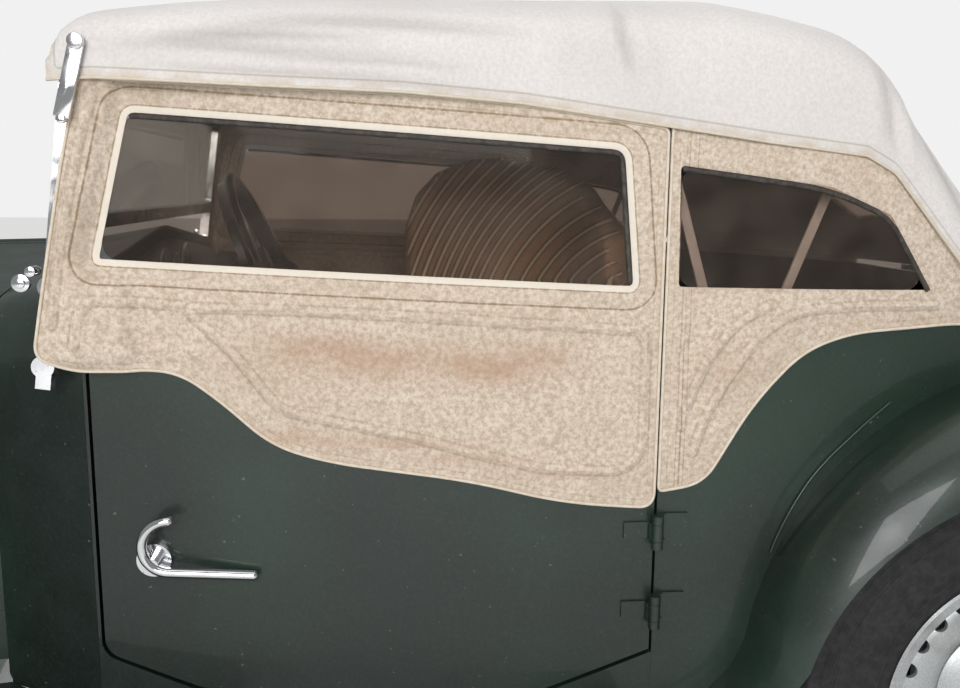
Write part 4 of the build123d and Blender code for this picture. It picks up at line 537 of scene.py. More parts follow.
PAINT = Coachpaint("Green_Coachpaint", "body_paint")
CHASSIS = ChassisPaint("Black_Chassis_Enamel", "chassis_paint")
CHROME = ChromePlate("Chrome_Plate", "chrome")
WHEEL = SilverEnamel("Silver_Wheel_Enamel", "wheel_paint")
IRON = PlainFinish("White_Hood_Iron_Paint", "frame_paint", "#F4F5F8", "#DEDEDF", 30, 0.45)
RUBBER = TyreRubber("Tyre_Rubber", "rubber")
DUCK = HoodDuck("Hood_Cotton_Duck", "hood_cloth")
DRILL = CurtainDrill("Curtain_Cotton_Drill", "curtain_cloth")
TAPE = Binding("Curtain_Binding_Tape", "curtain_cloth")
VINYL = ClearVinyl("Clear_Vinyl", "vinyl")
GLASS = ScreenGlass("Screen_Glass", "glass")
LENS = ScreenGlass("Pressed_Lamp_Glass", "lens", "#E8E8E2", 0.12)
HIDE = PipedHide("Piped_Tan_Hide", "seat_leather")
CAST = PlainFinish("Green_Engine_Enamel_On_Iron", "cast_iron", "#3A4A3C", "#23261F", 40, 0.55, 0.0, 0.8)
PIPE = PlainFinish("Heat_Stained_Steel", "steel", "#6A5F55", "#3B342E", 50, 0.55, 0.7, 0.3)
DUCK_TAPE = Binding("Hood_Hem_Tape", "hood_cloth", "#CBC3B5")
# Painted shadow: black for the strip that stands for shade just inside the curtain windows' top and rear edges.
SHADOW_STRIP = PlainFinish("Perished_Black_Rubber", "rubber", "#2A2725", "#4A443E", 9, 0.7)
DASH = Walnut("Varnished_Walnut", "dash_wood")
BAKELITE = PlainFinish("Black_Bakelite", "wheel_rim_plastic", "#141210", "#221C18", 15, 0.25, 0.0, 0.05, 0.5)

NODE_FINISHES: dict[str, Finish] = {
    "chassis_frame": CHASSIS, "floor_pan": CHASSIS, "scuttle": PAINT, "rear_tub": PAINT, "sills": PAINT,
    "engine_block": CAST, "radiator_shell": CHROME, "grille_slats": PAINT, "front_wings": PAINT,
    "rear_wings": PAINT, "running_boards": PAINT, "valances": PAINT, "headlamps": CHROME, "lamp_lenses": LENS,
    "side_lamps": CHROME, "front_bumper": CHROME, "rear_bumper": CHROME, "fuel_tank": PAINT,
    "spare_carrier": CHASSIS, "windscreen_frame": CHROME, "windscreen_glass": GLASS, "dash_panel": DASH,
    "hood_window": VINYL, "hood_frame": IRON, "front_suspension": CHASSIS, "rear_axle": CHASSIS,
    "exhaust": PIPE, "steering_column": CHASSIS, "bonnet_left": PAINT, "bonnet_right": PAINT,
    "knuckle_left": CHASSIS, "knuckle_right": CHASSIS, "steering_wheel": BAKELITE,
    "door_left": PAINT, "door_right": PAINT, "door_handle_left": CHROME, "door_handle_right": CHROME,
    "front_curtain_pane_left": VINYL, "front_curtain_pane_right": VINYL,
    "rear_curtain_pane_left": VINYL, "rear_curtain_pane_right": VINYL,
    "spare_wheel": WHEEL, "spare_tyre": RUBBER,
}
for corner in ("front_left", "front_right", "rear_left", "rear_right"):
    NODE_FINISHES["wheel_" + corner] = WHEEL
    NODE_FINISHES["tyre_" + corner] = RUBBER
SOFT_FINISHES: dict[str, Finish] = {
    "hood_canopy": DUCK, "seat_cushions": HIDE, "seat_back": HIDE,
    "front_curtain_left": DRILL, "front_curtain_right": DRILL, "rear_curtain_left": DRILL,
    "rear_curtain_right": DRILL,
}


# Shared ways of making a piece


def clear_selection() -> None:
    """Deselect every object."""
    for thing in bpy.context.selected_objects:
        thing.select_set(False)


def choose(piece: bpy.types.Object) -> None:
    """Make one object the only selected and active one."""
    clear_selection()
    piece.select_set(True)
    bpy.context.view_layer.objects.active = piece


def apply_modifier(piece: bpy.types.Object, kind: str, **settings: object) -> None:
    """Add a modifier with its settings and apply it at once."""
    modifier = piece.modifiers.new(kind.title(), kind)
    for key, value in settings.items():
        setattr(modifier, key, value)
    choose(piece)
    bpy.ops.object.modifier_apply(modifier=modifier.name)


def settle(piece: bpy.types.Object, name: str, finish: Finish, body: str, smooth: float = 40.0) -> bpy.types.Object:
    """Name, finish and seat a piece on its body, with its place in its mesh.

    Args:
        piece: The new object.
        name: The piece's name.
        finish: Its surface finish.
        body: The CAD body it rides on.
        smooth: The angle in degrees under which edges are shaded smooth.

    Returns:
        The same object.
    """
    choose(piece)
    if piece.type != "MESH":
        bpy.ops.object.convert(target="MESH")
        piece = bpy.context.object
    bpy.ops.object.transform_apply(location=True, rotation=True, scale=True)
    piece.name = name
    piece.data.name = name
    piece.data.materials.clear()
    piece.data.materials.append(finish.make())
    bpy.ops.object.shade_smooth_by_angle(angle=math.radians(smooth))
    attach(piece, body)
    LOG.info("%s: %d faces", name, len(piece.data.polygons))
    return piece


def grid(columns: int, rows: int, name: str) -> bpy.types.Object:
    """Add a flat grid of one unit, whose corners run from 0 to 1 each way."""
    clear_selection()
    bpy.ops.mesh.primitive_grid_add(x_subdivisions=columns, y_subdivisions=rows, size=1.0, location=(0, 0, 0))
    piece = bpy.context.object
    piece.name = name
    shift_points(piece, lambda p: p + np.array([0.5, 0.5, 0.0]))
    return piece


def read_points(piece: bpy.types.Object) -> np.ndarray:
    """Give the mesh's points as an array."""
    flat = np.empty(len(piece.data.vertices) * 3)
    piece.data.vertices.foreach_get("co", flat)
    return flat.reshape(-1, 3)


def write_points(piece: bpy.types.Object, points: np.ndarray) -> None:
    """Set the mesh's points from an array."""
    piece.data.vertices.foreach_set("co", points.astype(float).ravel())
    piece.data.update()


def shift_points(piece: bpy.types.Object, move: Callable[[np.ndarray], np.ndarray]) -> None:
    """Move every point of a mesh by one function on the array of points."""
    write_points(piece, move(read_points(piece)))


def keep_value(piece: bpy.types.Object, name: str, values: np.ndarray) -> None:
    """Keep one number at each point of the mesh, for its finish to read."""
    attribute = piece.data.attributes.new(name, "FLOAT", "POINT")
    attribute.data.foreach_set("value", values.astype(float))


def remove_points(piece: bpy.types.Object, unwanted: np.ndarray) -> None:
    """Delete the chosen points in edit mode."""
    choose(piece)
    bpy.ops.object.mode_set(mode="EDIT")
    bpy.ops.mesh.select_all(action="DESELECT")
    bpy.ops.object.mode_set(mode="OBJECT")
    piece.data.vertices.foreach_set("select", unwanted)
    bpy.ops.object.mode_set(mode="EDIT")
    bpy.ops.mesh.delete(type="VERT")
    bpy.ops.object.mode_set(mode="OBJECT")


def rim_points(piece: bpy.types.Object) -> np.ndarray:
    """Give the numbers of the points on a sheet's open edges."""
    mesh = piece.data
    uses = np.zeros(len(mesh.edges), int)
    loops = np.empty(len(mesh.loops), int)
    mesh.loops.foreach_get("edge_index", loops)
    np.add.at(uses, loops, 1)
    ends = np.empty(len(mesh.edges) * 2, int)
    mesh.edges.foreach_get("vertices", ends)
    return np.unique(ends.reshape(-1, 2)[uses == 1])


def flip(piece: bpy.types.Object) -> None:
    """Turn every face over."""
    choose(piece)
    bpy.ops.object.mode_set(mode="EDIT")
    bpy.ops.mesh.select_all(action="SELECT")
    bpy.ops.mesh.flip_normals()
    bpy.ops.object.mode_set(mode="OBJECT")


def weld(piece: bpy.types.Object) -> None:
    """Merge the points that meet, and face everything outwards."""
    choose(piece)
    bpy.ops.object.mode_set(mode="EDIT")
    bpy.ops.mesh.select_all(action="SELECT")
    bpy.ops.mesh.remove_doubles(threshold=0.00002)
    bpy.ops.mesh.normals_make_consistent(inside=False)
    bpy.ops.object.mode_set(mode="OBJECT")


def rounded(corners: Sequence[Point], radii: Sequence[float], step: float = 4.0, closed: bool = True) -> np.ndarray:
    """Round a line's corners and sample it evenly.

    Args:
        corners: The corner points.
        radii: One radius for each corner.
        step: The distance between samples.
        closed: Whether the last corner joins the first.

    Returns:
        The sampled points.
    """
    found: list[Vector] = []
    count = len(corners)
    for i, (corner, radius) in enumerate(zip(corners, radii)):
        here = Vector(corner)
        if not closed and i in (0, count - 1):
            found.append(here)
            continue
        back, ahead = Vector(corners[i - 1]) - here, Vector(corners[(i + 1) % count]) - here
        reach = min(radius, 0.49 * min(back.length, ahead.length))
        start, end = here + back.normalized() * reach, here + ahead.normalized() * reach
        for k in range(9):
            t = k / 8
            found.append(start * (1 - t) ** 2 + here * 2 * t * (1 - t) + end * t * t)
    if closed:
        found.append(found[0])
    line = np.array([tuple(p) for p in found])
    lengths = np.r_[0, np.cumsum(np.linalg.norm(np.diff(line, axis=0), axis=1))]
    samples = np.arange(0, lengths[-1], step)
    if not closed:
        samples = np.r_[samples, lengths[-1]]
    return np.c_[np.interp(samples, lengths, line[:, 0]), np.interp(samples, lengths, line[:, 1])]


def distance_to(points: np.ndarray, line: np.ndarray, closed: bool = True) -> tuple[np.ndarray, np.ndarray, np.ndarray]:
    """Measure from points to a line.

    Args:
        points: The points, two numbers each.
        line: The line's samples.
        closed: Whether the line is a loop.

    Returns:
        Each point's distance, nearest place on the line, and place along it.
    """
    starts = line if closed else line[:-1]
    ends = np.roll(line, -1, axis=0) if closed else line[1:]
    best = np.full(len(points), 1e9)
    near = np.zeros_like(points)
    along = np.zeros(len(points))
    run = 0.0
    for a, b in zip(starts, ends):
        edge = b - a
        size = float(np.hypot(*edge))
        t = np.clip((points - a) @ edge / max(size * size, 1e-12), 0, 1)
        place = a + t[:, None] * edge
        gap = np.hypot(*(points - place).T)
        better = gap < best
        best[better] = gap[better]
        near[better] = place[better]
        along[better] = run + t[better] * size
        run += size
    return best, near, along


def inside(points: np.ndarray, loop: np.ndarray) -> np.ndarray:
    """Tell which points lie inside a closed line."""
    held = np.zeros(len(points), bool)
    x, y = points.T
    for (x0, y0), (x1, y1) in zip(loop, np.roll(loop, -1, axis=0)):
        if y0 == y1:
            continue
        crosses = (y0 > y) != (y1 > y)
        held ^= crosses & (x < (x1 - x0) * (y - y0) / (y1 - y0) + x0)
    return held


def ripple(points: np.ndarray, size_mm: float, seed: float) -> np.ndarray:
    """Give smooth seeded noise from -1 to 1 at each point, two numbers each."""
    return np.array([noise.noise(Vector((x / size_mm, z / size_mm, seed))) for x, z in points])


def cord_along(
    points: Sequence[Vector], radius_mm: float, name: str, closed: bool = False, sides: int = 2
) -> bpy.types.Object:
    """Make a round cord or bar along a line of points.

    Args:
        points: The line's points in metres.
        radius_mm: The cord's radius.
        name: The object's name.
        closed: Whether the line is a loop.
        sides: The roundness of the cord.

    Returns:
        The cord as a mesh object.
    """
    curve = bpy.data.curves.new(name, "CURVE")
    curve.dimensions = "3D"
    curve.bevel_depth = radius_mm / 1000
    curve.bevel_resolution = sides
    curve.use_fill_caps = True
    spline = curve.splines.new("POLY")
    spline.points.add(len(points) - 1)
    for place, point in zip(spline.points, points):
        place.co = (*point, 1.0)
    spline.use_cyclic_u = closed
    piece = bpy.data.objects.new(name, curve)
    bpy.context.collection.objects.link(piece)
    choose(piece)
    bpy.ops.object.convert(target="MESH")
    return bpy.context.object


def join(pieces: Sequence[bpy.types.Object]) -> bpy.types.Object:
    """Join several objects into the first."""
    clear_selection()
    for piece in pieces:
        piece.select_set(True)
    bpy.context.view_layer.objects.active = pieces[0]
    bpy.ops.object.join()
    return pieces[0]


# The body's plan, from the same sizes as the CAD model


def arc_through(a: Point, b: Point, c: Point) -> tuple[float, float, float]:
    """Find the circle through three plan points as centre and radius."""
    ax, ay, bx, by, cx, cy = *a, *b, *c
    d = 2 * (ax * (by - cy) + bx * (cy - ay) + cx * (ay - by))
    ux = ((ax**2 + ay**2) * (by - cy) + (bx**2 + by**2) * (cy - ay) + (cx**2 + cy**2) * (ay - by)) / d
    uy = ((ax**2 + ay**2) * (cx - bx) + (bx**2 + by**2) * (ax - cx) + (cx**2 + cy**2) * (bx - ax)) / d
    return ux, uy, math.hypot(ax - ux, ay - uy)


PLAN_ARCS = (
    (1330.0, arc_through((1500, 440), (1415, 495), (1330, 540))),
    (530.0, arc_through((1330, 540), (950, 592), (530, 612))),
    (-330.0, arc_through((530, 612), (120, 588), (-330, 470))),
)


def half_width(ahead: np.ndarray) -> np.ndarray:
    """Give the body skin's distance from the centre line at each station."""
    ahead = np.asarray(ahead, float)
    found = np.zeros_like(ahead)
    done = np.zeros(ahead.shape, bool)
    for rear_end, (cx, cy, radius) in PLAN_ARCS:
        here = (ahead >= rear_end) & ~done
        root = np.sqrt(np.maximum(radius**2 - (ahead - cx) ** 2, 0))
        found = np.where(here, cy + np.sign(590 - cy) * root, found)
        done |= here
    return found


# Soft goods


@dataclass
class SideCurtain:
    """A side curtain of stitched drill round a vinyl window."""

    node: str
    hand: Hand
    body: str
    outline: Sequence[Point]
    outline_radii: Sequence[float]
    window: Sequence[Point]
    window_radii: Sequence[float]
    strip: tuple[int, int]
    taped: bool
    welts: Sequence[tuple[Sequence[Point], float, bool]]
    seams: Sequence[Sequence[Point]]
    folds: Sequence[tuple[Point, Point, float, float]]
    stains: Sequence[tuple[float, float, float, float, float]]
    pitch: float = 4.0
    gap_mm: float = 1.2
    cloth_mm: float = 2.0

    def build(self) -> bpy.types.Object:
        """Cut, drape and finish the curtain with its binding, welts and a black strip of painted shadow."""
        edge = rounded(self.outline, self.outline_radii)
        hole = rounded(self.window, self.window_radii)
        piece = self.cut(edge, hole)
        flat = read_points(piece)[:, :2]
        edge_gap, _, edge_run = distance_to(flat, edge)
        hole_gap, _, hole_run = distance_to(flat, hole)
        welt_gap, seam_gap = np.full(len(flat), 99.0), np.full(len(flat), 99.0)
        for corners, radius, closed in self.welts:
            line = rounded(corners, [radius] * len(corners), 5.0, closed)
            welt_gap = np.minimum(welt_gap, distance_to(flat, line, closed)[0])
        for corners in self.seams:
            seam_gap = np.minimum(seam_gap, distance_to(flat, np.array(corners, float), False)[0])
        keep_value(piece, "edge_mm", edge_gap)
        keep_value(piece, "window_mm", hole_gap if self.taped else np.full(len(flat), 200.0))
        keep_value(piece, "welt_mm", welt_gap)
        keep_value(piece, "seam_mm", seam_gap)
        keep_value(piece, "stain", self.stained(flat))
        out = self.stand_off(flat, edge_gap, hole_gap, welt_gap, edge_run, hole_run)
        write_points(piece, self.placed(flat, out))
        if self.hand is Hand.LEFT:
            flip(piece)
        apply_modifier(piece, "SOLIDIFY", thickness=self.cloth_mm / 1000, offset=-1.0, use_even_offset=False)
        settle(piece, self.node + "_cloth", DRILL, self.body)
        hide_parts(self.node)
        trims = [self.trim(edge, 2.3, "binding", True, 2.2, TAPE), self.glaze(hole)]
        return piece

    def cut(self, edge: np.ndarray, hole: np.ndarray) -> bpy.types.Object:
        """Cut the flat panel out of a grid and snap its rim to the pattern's line."""
        low, high = edge.min(0) - self.pitch, edge.max(0) + self.pitch
        counts = np.maximum(((high - low) / self.pitch).astype(int), 2)
        piece = grid(int(counts[0]), int(counts[1]), self.node + "_grid")
        shift_points(piece, lambda p: np.c_[low + p[:, :2] * (high - low), p[:, 2]])
        flat = read_points(piece)[:, :2]
        kept = inside(flat, edge) & ~inside(flat, hole)
        rim_gap = np.minimum(distance_to(flat, edge)[0], distance_to(flat, hole)[0])
        remove_points(piece, ~kept | (rim_gap < 0.3 * self.pitch))
        rim = rim_points(piece)
        flat = read_points(piece)
        to_edge, edge_place, _ = distance_to(flat[rim, :2], edge)
        to_hole, hole_place, _ = distance_to(flat[rim, :2], hole)
        flat[rim, :2] = np.where((to_edge < to_hole)[:, None], edge_place, hole_place)
        write_points(piece, flat)
        return piece

    def stained(self, flat: np.ndarray) -> np.ndarray:
        """Lay soft stain strokes, each a centre, half sizes and strength."""
        total = np.zeros(len(flat))
        for x, z, wide, high, strength in self.stains:
            total += strength * np.exp(-(((flat[:, 0] - x) / wide) ** 2) - ((flat[:, 1] - z) / high) ** 2)
        return np.clip(total, 0, 1)

    def stand_off(
        self, flat: np.ndarray, edge_gap: np.ndarray, hole_gap: np.ndarray, welt_gap: np.ndarray,
        edge_run: np.ndarray, hole_run: np.ndarray,
    ) -> np.ndarray:
        """Give how far each point stands off the body, in millimetres."""
        free = np.clip(np.minimum(edge_gap, hole_gap) / 40, 0, 1)
        out = self.gap_mm + 1.0 + 2.0 * free**0.7
        out += free * (2.2 * ripple(flat, 80, 3.1) + 1.3 * ripple(flat, 30, 7.7))
        out += 0.4 * np.exp(-((edge_gap - 13) / 7) ** 2) * np.sin(edge_run * 0.42)
        out += 0.4 * np.exp(-((hole_gap - 22) / 8) ** 2) * np.sin(hole_run * 0.3)
        out += 4.2 * np.exp(-((welt_gap / 5.2) ** 2)) - 1.0 * np.exp(-(((welt_gap - 9.5) / 3.0) ** 2))
        if self.taped:
            out += 1.0 * np.clip((10 - hole_gap) / 2, 0, 1) - 0.9 * np.exp(-(((hole_gap - 33) / 2.6) ** 2))
            band = np.clip((flat[:, 0] - 1262) / 14, 0, 1) * np.clip(edge_gap / 12, 0, 1)
            out += 0.8 * band * np.sin(flat[:, 0] * 0.46 + 2.5 * ripple(flat, 60, 9.4))
        for (x0, z0), (x1, z1), width, height in self.folds:
            gap, _, along = distance_to(flat, np.array([(x0, z0), (x1, z1)]), False)
            size = math.hypot(x1 - x0, z1 - z0)
            taper = np.sin(np.pi * np.clip(along / size, 0.04, 0.96))
            out += height * taper * np.exp(-((gap / width) ** 2))
        return np.maximum(out, self.gap_mm)

    def placed(self, flat: np.ndarray, out: np.ndarray) -> np.ndarray:
        """Wrap flat points round the body's plan, in metres."""
        plan = half_width(flat[:, 0])
        if self.taped:
            hole = rounded(self.window, self.window_radii, 12.0)
            beside = np.clip((distance_to(flat, hole)[0] - 4) / 36, 0, 1) * np.clip((flat[:, 0] - 1240) / 30, 0, 1)
            above = np.clip((flat[:, 1] - 785) / 50, 0, 1)
            reach = beside**2 * (3 - 2 * beside) * above**2 * (3 - 2 * above)
            plan = plan + reach * np.maximum(568 - plan, 0)
        left = (plan + out) * self.hand.value
        return np.c_[flat[:, 0] / 1000 + AXLE_X, left / 1000, flat[:, 1] / 1000]

    def trim(
        self, line: np.ndarray, radius: float, word: str, closed: bool, out: float, finish: Finish
    ) -> bpy.types.Object:
        """Lay a tape or strip along a line on the curtain."""
        places = self.placed(line, np.full(len(line), self.gap_mm + out))
        cord = cord_along([Vector(p) for p in places], radius, f"{self.node}_{word}", closed)
        return settle(cord, f"{self.node}_{word}", finish, self.body, 60)

    def glaze(self, hole: np.ndarray) -> bpy.types.Object:
        """Lay a black strip of painted shadow just inside the window's top and rear edges."""
        first, last = (Vector(self.window[i]) for i in self.strip)
        starts = int(np.argmin(np.hypot(*(hole - np.array(first)).T)))
        ends = int(np.argmin(np.hypot(*(hole - np.array(last)).T)))
        line = np.roll(hole, -starts, axis=0)[: (ends - starts) % len(hole) + 1]
        along = np.gradient(line, axis=0)
        along /= np.linalg.norm(along, axis=1)[:, None]
        inward = np.c_[-along[:, 1], along[:, 0]]
        middle = hole.mean(0)
        inward *= np.sign(((middle - line) * inward).sum(1))[:, None]
        return self.trim(line + inward * 4.4, 3.8, "glazing_strip", False, 2.6, SHADOW_STRIP)


@dataclass
class Hood:
    """The raised hood: one sheet of duck drawn over its bows, with the irons that hold it."""

    sections: tuple[tuple[float, float, float, float, float], ...] = (
        (1344.0, 562.0, 1222.0, 1240.0, 2.4),
        (1336.0, 566.0, 1228.0, 1292.0, 2.4),
        (1324.0, 570.0, 1242.0, 1313.0, 2.4),
        (1300.0, 576.0, 1250.0, 1326.0, 2.4),
        (1188.0, 592.0, 1250.0, 1343.0, 2.4),
        (1108.0, 600.0, 1250.0, 1352.0, 2.4),
        (880.0, 614.0, 1248.0, 1361.0, 2.3),
        (450.0, 623.0, 1252.0, 1366.0, 2.4),
        (366.0, 619.0, 1240.0, 1354.0, 2.4),
        (262.0, 611.0, 1212.0, 1346.0, 2.2),
        (208.0, 606.0, 1165.0, 1338.0, 2.1),
        (150.0, 600.0, 1075.0, 1286.0, 2.0),
        (76.0, 592.0, 985.0, 1224.0, 1.9),
        (5.0, 575.0, 918.0, 1164.0, 1.8),
        (-120.0, 546.0, 893.0, 1060.0, 1.8),
        (-255.0, 508.0, 887.0, 952.0, 1.9),
        (-326.0, 482.0, 884.0, 896.0, 2.0),
    )
    hem: tuple[Point, ...] = (
        (-370, 880.2), (50, 904.4), (87, 965), (204, 1091), (250, 1114), (396, 1130), (524, 1147), (731, 1175),
        (890, 1187), (1083, 1193), (1280, 1201), (1420, 1196),
    )
    bows: tuple[float, ...] = (1320.0, 880.0, 540.0, 214.0)
    window: tuple[float, float] = (-172.0, -36.0)
    window_half: float = 210.0
    columns: int = 200
    rows: int = 150
    cloth_mm: float = 3.0
    creases: tuple[tuple[tuple[Point, ...], float, float], ...] = (
        (((1290, 1224), (1082, 1211), (891, 1201), (706, 1182)), 9, -3.2),
        (((1300, 1237), (1143, 1243), (980, 1230), (865, 1224), (760, 1210)), 10, -3.4),
        (((1180, 1262), (1020, 1279), (863, 1272), (701, 1264)), 13, -3.0),
        (((1240, 1251), (1080, 1258), (900, 1250)), 8, -1.6),
        (((579, 1320), (582, 1273), (570, 1235), (551, 1192)), 12, 3.4),
        (((600, 1320), (606, 1273), (596, 1235), (582, 1205)), 11, -2.4),
        (((684, 1300), (686, 1233), (680, 1190)), 14, 2.6),
        (((224, 1245), (222, 1180), (206, 1110)), 7, -3.5),
        (((250, 1250), (243, 1180), (230, 1125)), 8, 3.0),
        (((196, 1215), (190, 1150), (176, 1085)), 8, 2.6),
        (((170, 1180), (120, 1100), (60, 1000)), 12, -2.4),
    )

    def section_at(self, ahead: float) -> tuple[float, float, float, float]:
        """Give the half width, wall height, top and roundness at a station, soft over each bow."""
        stations = [s[0] for s in self.sections][::-1]
        soft = min(18.0, 1.0 + (stations[-1] - ahead) / 2)
        near = np.clip(ahead + np.linspace(-soft, soft, 7), stations[0], stations[-1])
        found = [float(np.mean(np.interp(near, stations, [s[k] for s in self.sections][::-1]))) for k in (1, 2, 3, 4)]
        return found[0], found[1], found[2], found[3]

    def hem_at(self, ahead: np.ndarray | float) -> np.ndarray:
        """Give the hem's height at a station."""
        return np.interp(ahead, [p[0] for p in self.hem], [p[1] for p in self.hem])

    def hoop(self, ahead: float, inset: float = 0.0) -> np.ndarray:
        """Give evenly spaced section points from hem to hem, as left and up.

        Args:
            ahead: The station.
            inset: How far inside the cloth the line runs.

        Returns:
            The points, one more than the sheet's rows.
        """
        half, wall, top, power = self.section_at(ahead)
        hem = float(self.hem_at(ahead))
        wall = max(wall, hem + 10)
        turn = np.linspace(0, np.pi / 2, 60)
        arch = np.c_[(half - inset) * np.cos(turn) ** (2 / power), wall + (top - inset - wall) * np.sin(turn) ** (2 / power)]
        near = np.vstack([[half - inset, hem], arch])
        line = np.vstack([near, near[::-1][1:] * [-1, 1]])
        run = np.r_[0, np.cumsum(np.hypot(*np.diff(line, axis=0).T))]
        even = np.linspace(0, run[-1], self.rows + 1)
        return np.c_[np.interp(even, run, line[:, 0]), np.interp(even, run, line[:, 1])]

    def height_at(self, ahead: float, left: float) -> float:
        """Give the cloth's height at a station and distance from the centre line."""
        line = self.hoop(ahead)
        upper = line[: self.rows // 2 + 1][::-1]
        return float(np.interp(abs(left), upper[:, 0], upper[:, 1]))

    def build(self) -> bpy.types.Object:
        """Drape the sheet, cut its window, lay its creases and fit its bows and irons."""
        piece = grid(self.columns, self.rows, "hood_grid")
        points = read_points(piece)
        front, rear = self.sections[0][0], self.sections[-1][0]
        slots = np.rint(points[:, 0] * self.columns).astype(int)
        turns = np.rint(points[:, 1] * self.rows).astype(int)
        stations = rear + (front - rear) * np.linspace(0, 1, self.columns + 1)
        hoops = np.array([self.hoop(s) for s in stations])
        place = np.c_[stations[slots], hoops[slots, turns]]
        hem_gap = np.where(np.abs(place[:, 1]) > 300, place[:, 2] - self.hem_at(place[:, 0]), 400)
        hem_gap = np.minimum(hem_gap, np.minimum(front - place[:, 0], place[:, 0] - rear))
        side = np.c_[place[:, 0], place[:, 2]]
        pull = np.zeros(len(place))
        dark = np.zeros(len(place))
        flank = np.clip((np.abs(place[:, 1]) - 300) / 120, 0, 1)
        for line, width, height in self.creases:
            smooth = rounded(line, [60] * len(line), 12, False)
            gap, _, along = distance_to(side, smooth, False)
            length = float(np.hypot(*np.diff(smooth, axis=0).T).sum())
            taper = np.sin(np.pi * np.clip(along / length, 0.03, 0.97)) ** 0.6
            ridge = taper * np.exp(-((gap / width) ** 2)) * flank
            pull += 1.5 * height * ridge
            # Painted shade: sunken creases are marked for strong greying, raised ones for a little.
            dark += (0.6 if height < 0 else 0.12) * ridge
        pull += 1.6 * ripple(side, 170, 1.3) + 0.6 * ripple(side, 60, 5.2)
        write_points(piece, place / 1000)
        lift = np.clip(hem_gap / 40, 0, 1)
        outward = place - np.c_[place[:, 0], np.zeros(len(place)), np.full(len(place), 950.0)]
        outward /= np.linalg.norm(outward, axis=1)[:, None]
        place += outward * (pull * lift)[:, None]
        write_points(piece, place / 1000 + [AXLE_X, 0, 0])
        keep_value(piece, "hem_mm", np.clip(hem_gap, 0, 400))
        keep_value(piece, "crease", np.clip(dark, 0, 1))
        self.cut_window(piece)
        if sum(p.normal.z for p in piece.data.polygons) < 0:
            flip(piece)
        apply_modifier(piece, "SOLIDIFY", thickness=self.cloth_mm / 1000, offset=-1.0)
        settle(piece, "hood_duck", DUCK, "body", 60)
        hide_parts("hood_canopy")
        trims = self.bind(hoops, stations)
        width = max(float(np.hypot(*np.diff(h, axis=0).T).sum()) for h in hoops) / 1000
        ridge = np.c_[stations, hoops[:, self.rows // 2, 1]]
        length = float(np.hypot(*np.diff(ridge, axis=0).T).sum()) / 1000
        self.fit_frame()
        return piece

    def cut_window(self, piece: bpy.types.Object) -> None:
        """Open the rear window and square its sides to the pattern."""
        low, high = (w / 1000 + AXLE_X for w in self.window)
        half = self.window_half / 1000
        points = read_points(piece)
        held = (points[:, 0] > low) & (points[:, 0] < high) & (np.abs(points[:, 1]) < half - 0.003)
        remove_points(piece, held)
        points = read_points(piece)
        for i in rim_points(piece):
            x, y, _ = points[i]
            if low < x < high and abs(y) < half + 0.02:
                points[i, 1] = math.copysign(half, y)
        write_points(piece, points)

    def bind(self, hoops: np.ndarray, stations: np.ndarray) -> list[bpy.types.Object]:
        """Lay the tape along the hood's hem and round its window, and set in the window's vinyl."""
        trims = []
        for hand in Hand:
            end = 0 if hand is Hand.LEFT else -1
            side = [at(s, hoops[i][end][0], hoops[i][end][1]) for i, s in enumerate(stations)]
            cord = cord_along(side, 2.2, "hem")
            trims.append(settle(cord, f"hood_hem_{hand.word}", DUCK_TAPE, "body", 60))
        across = [at(stations[0], y, z) for y, z in hoops[0]]
        trims.append(settle(cord_along(across, 3.0, "hem"), "hood_hem_rear", DUCK_TAPE, "body", 60))
        low, high = self.window[0] - 5, self.window[1] + 5
        half = self.window_half + 2
        loop = rounded([(low, -half), (high, -half), (high, half), (low, half)], [20] * 4, 8.0)
        ring = cord_along([at(x, y, self.height_at(x, y) + 2) for x, y in loop], 5.0, "window_tape", True)
        trims.append(settle(ring, "hood_window_tape", DUCK_TAPE, "body", 60))
        pane = grid(8, 24, "hood_window_grid")
        shift_points(pane, lambda p: np.c_[low - 2 + p[:, 0] * (high - low + 4), (p[:, 1] * 2 - 1) * (half + 2), p[:, 2]])
        flat = read_points(pane)
        lifted = [at(x, y, self.height_at(x, y) - 3.0) for x, y, _ in flat]
        write_points(pane, np.array([tuple(p) for p in lifted]))
        apply_modifier(pane, "SOLIDIFY", thickness=0.0008, offset=0.0)
        settle(pane, "hood_window_vinyl", VINYL, "body", 60)
        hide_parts("hood_window")
        return trims

    def fit_frame(self) -> None:
        """Set the bows under the cloth on their folding irons."""
        parts = []
        for ahead in self.bows:
            line = [p for p in self.hoop(ahead, 14.0) if p[1] > 1175]
            parts.append(cord_along([at(ahead, y, z) for y, z in line], 8.0, "bow", False, 3))
        pivot = (408.0, 742.0)
        links = ((pivot, (540.0, 1180.0), 578.0), (pivot, (238.0, 1185.0), 570.0),
                 ((520.0, 1196.0), (880.0, 1206.0), 586.0))
        for hand in Hand:
            for start, end, left in links:
                parts.append(bar(start, end, left * hand.value, 14.0, 5.0))
                parts.append(pin(at(end[0], left * hand.value, end[1]), 9.0, 14.0))
            parts.append(pin(at(pivot[0], 574 * hand.value, pivot[1]), 13.0, 22.0))
        frame = settle(join(parts), "hood_irons", IRON, "body", 40)
        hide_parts("hood_frame")


def bar(start: Point, end: Point, left: float, width: float, thick: float) -> bpy.types.Object:
    """Make a flat bar between two side-view points, with its edges eased."""
    run, rise = end[0] - start[0], end[1] - start[1]
    middle = at((start[0] + end[0]) / 2, left, (start[1] + end[1]) / 2)
    clear_selection()
    bpy.ops.mesh.primitive_cube_add(
        size=1.0, location=middle, rotation=(0, -math.atan2(rise, run), 0),
        scale=(math.hypot(run, rise) / 1000, thick / 1000, width / 1000),
    )
    piece = bpy.context.object
    bpy.ops.object.transform_apply(location=False, rotation=False, scale=True)
    apply_modifier(piece, "BEVEL", width=0.0012, segments=2)
    return piece


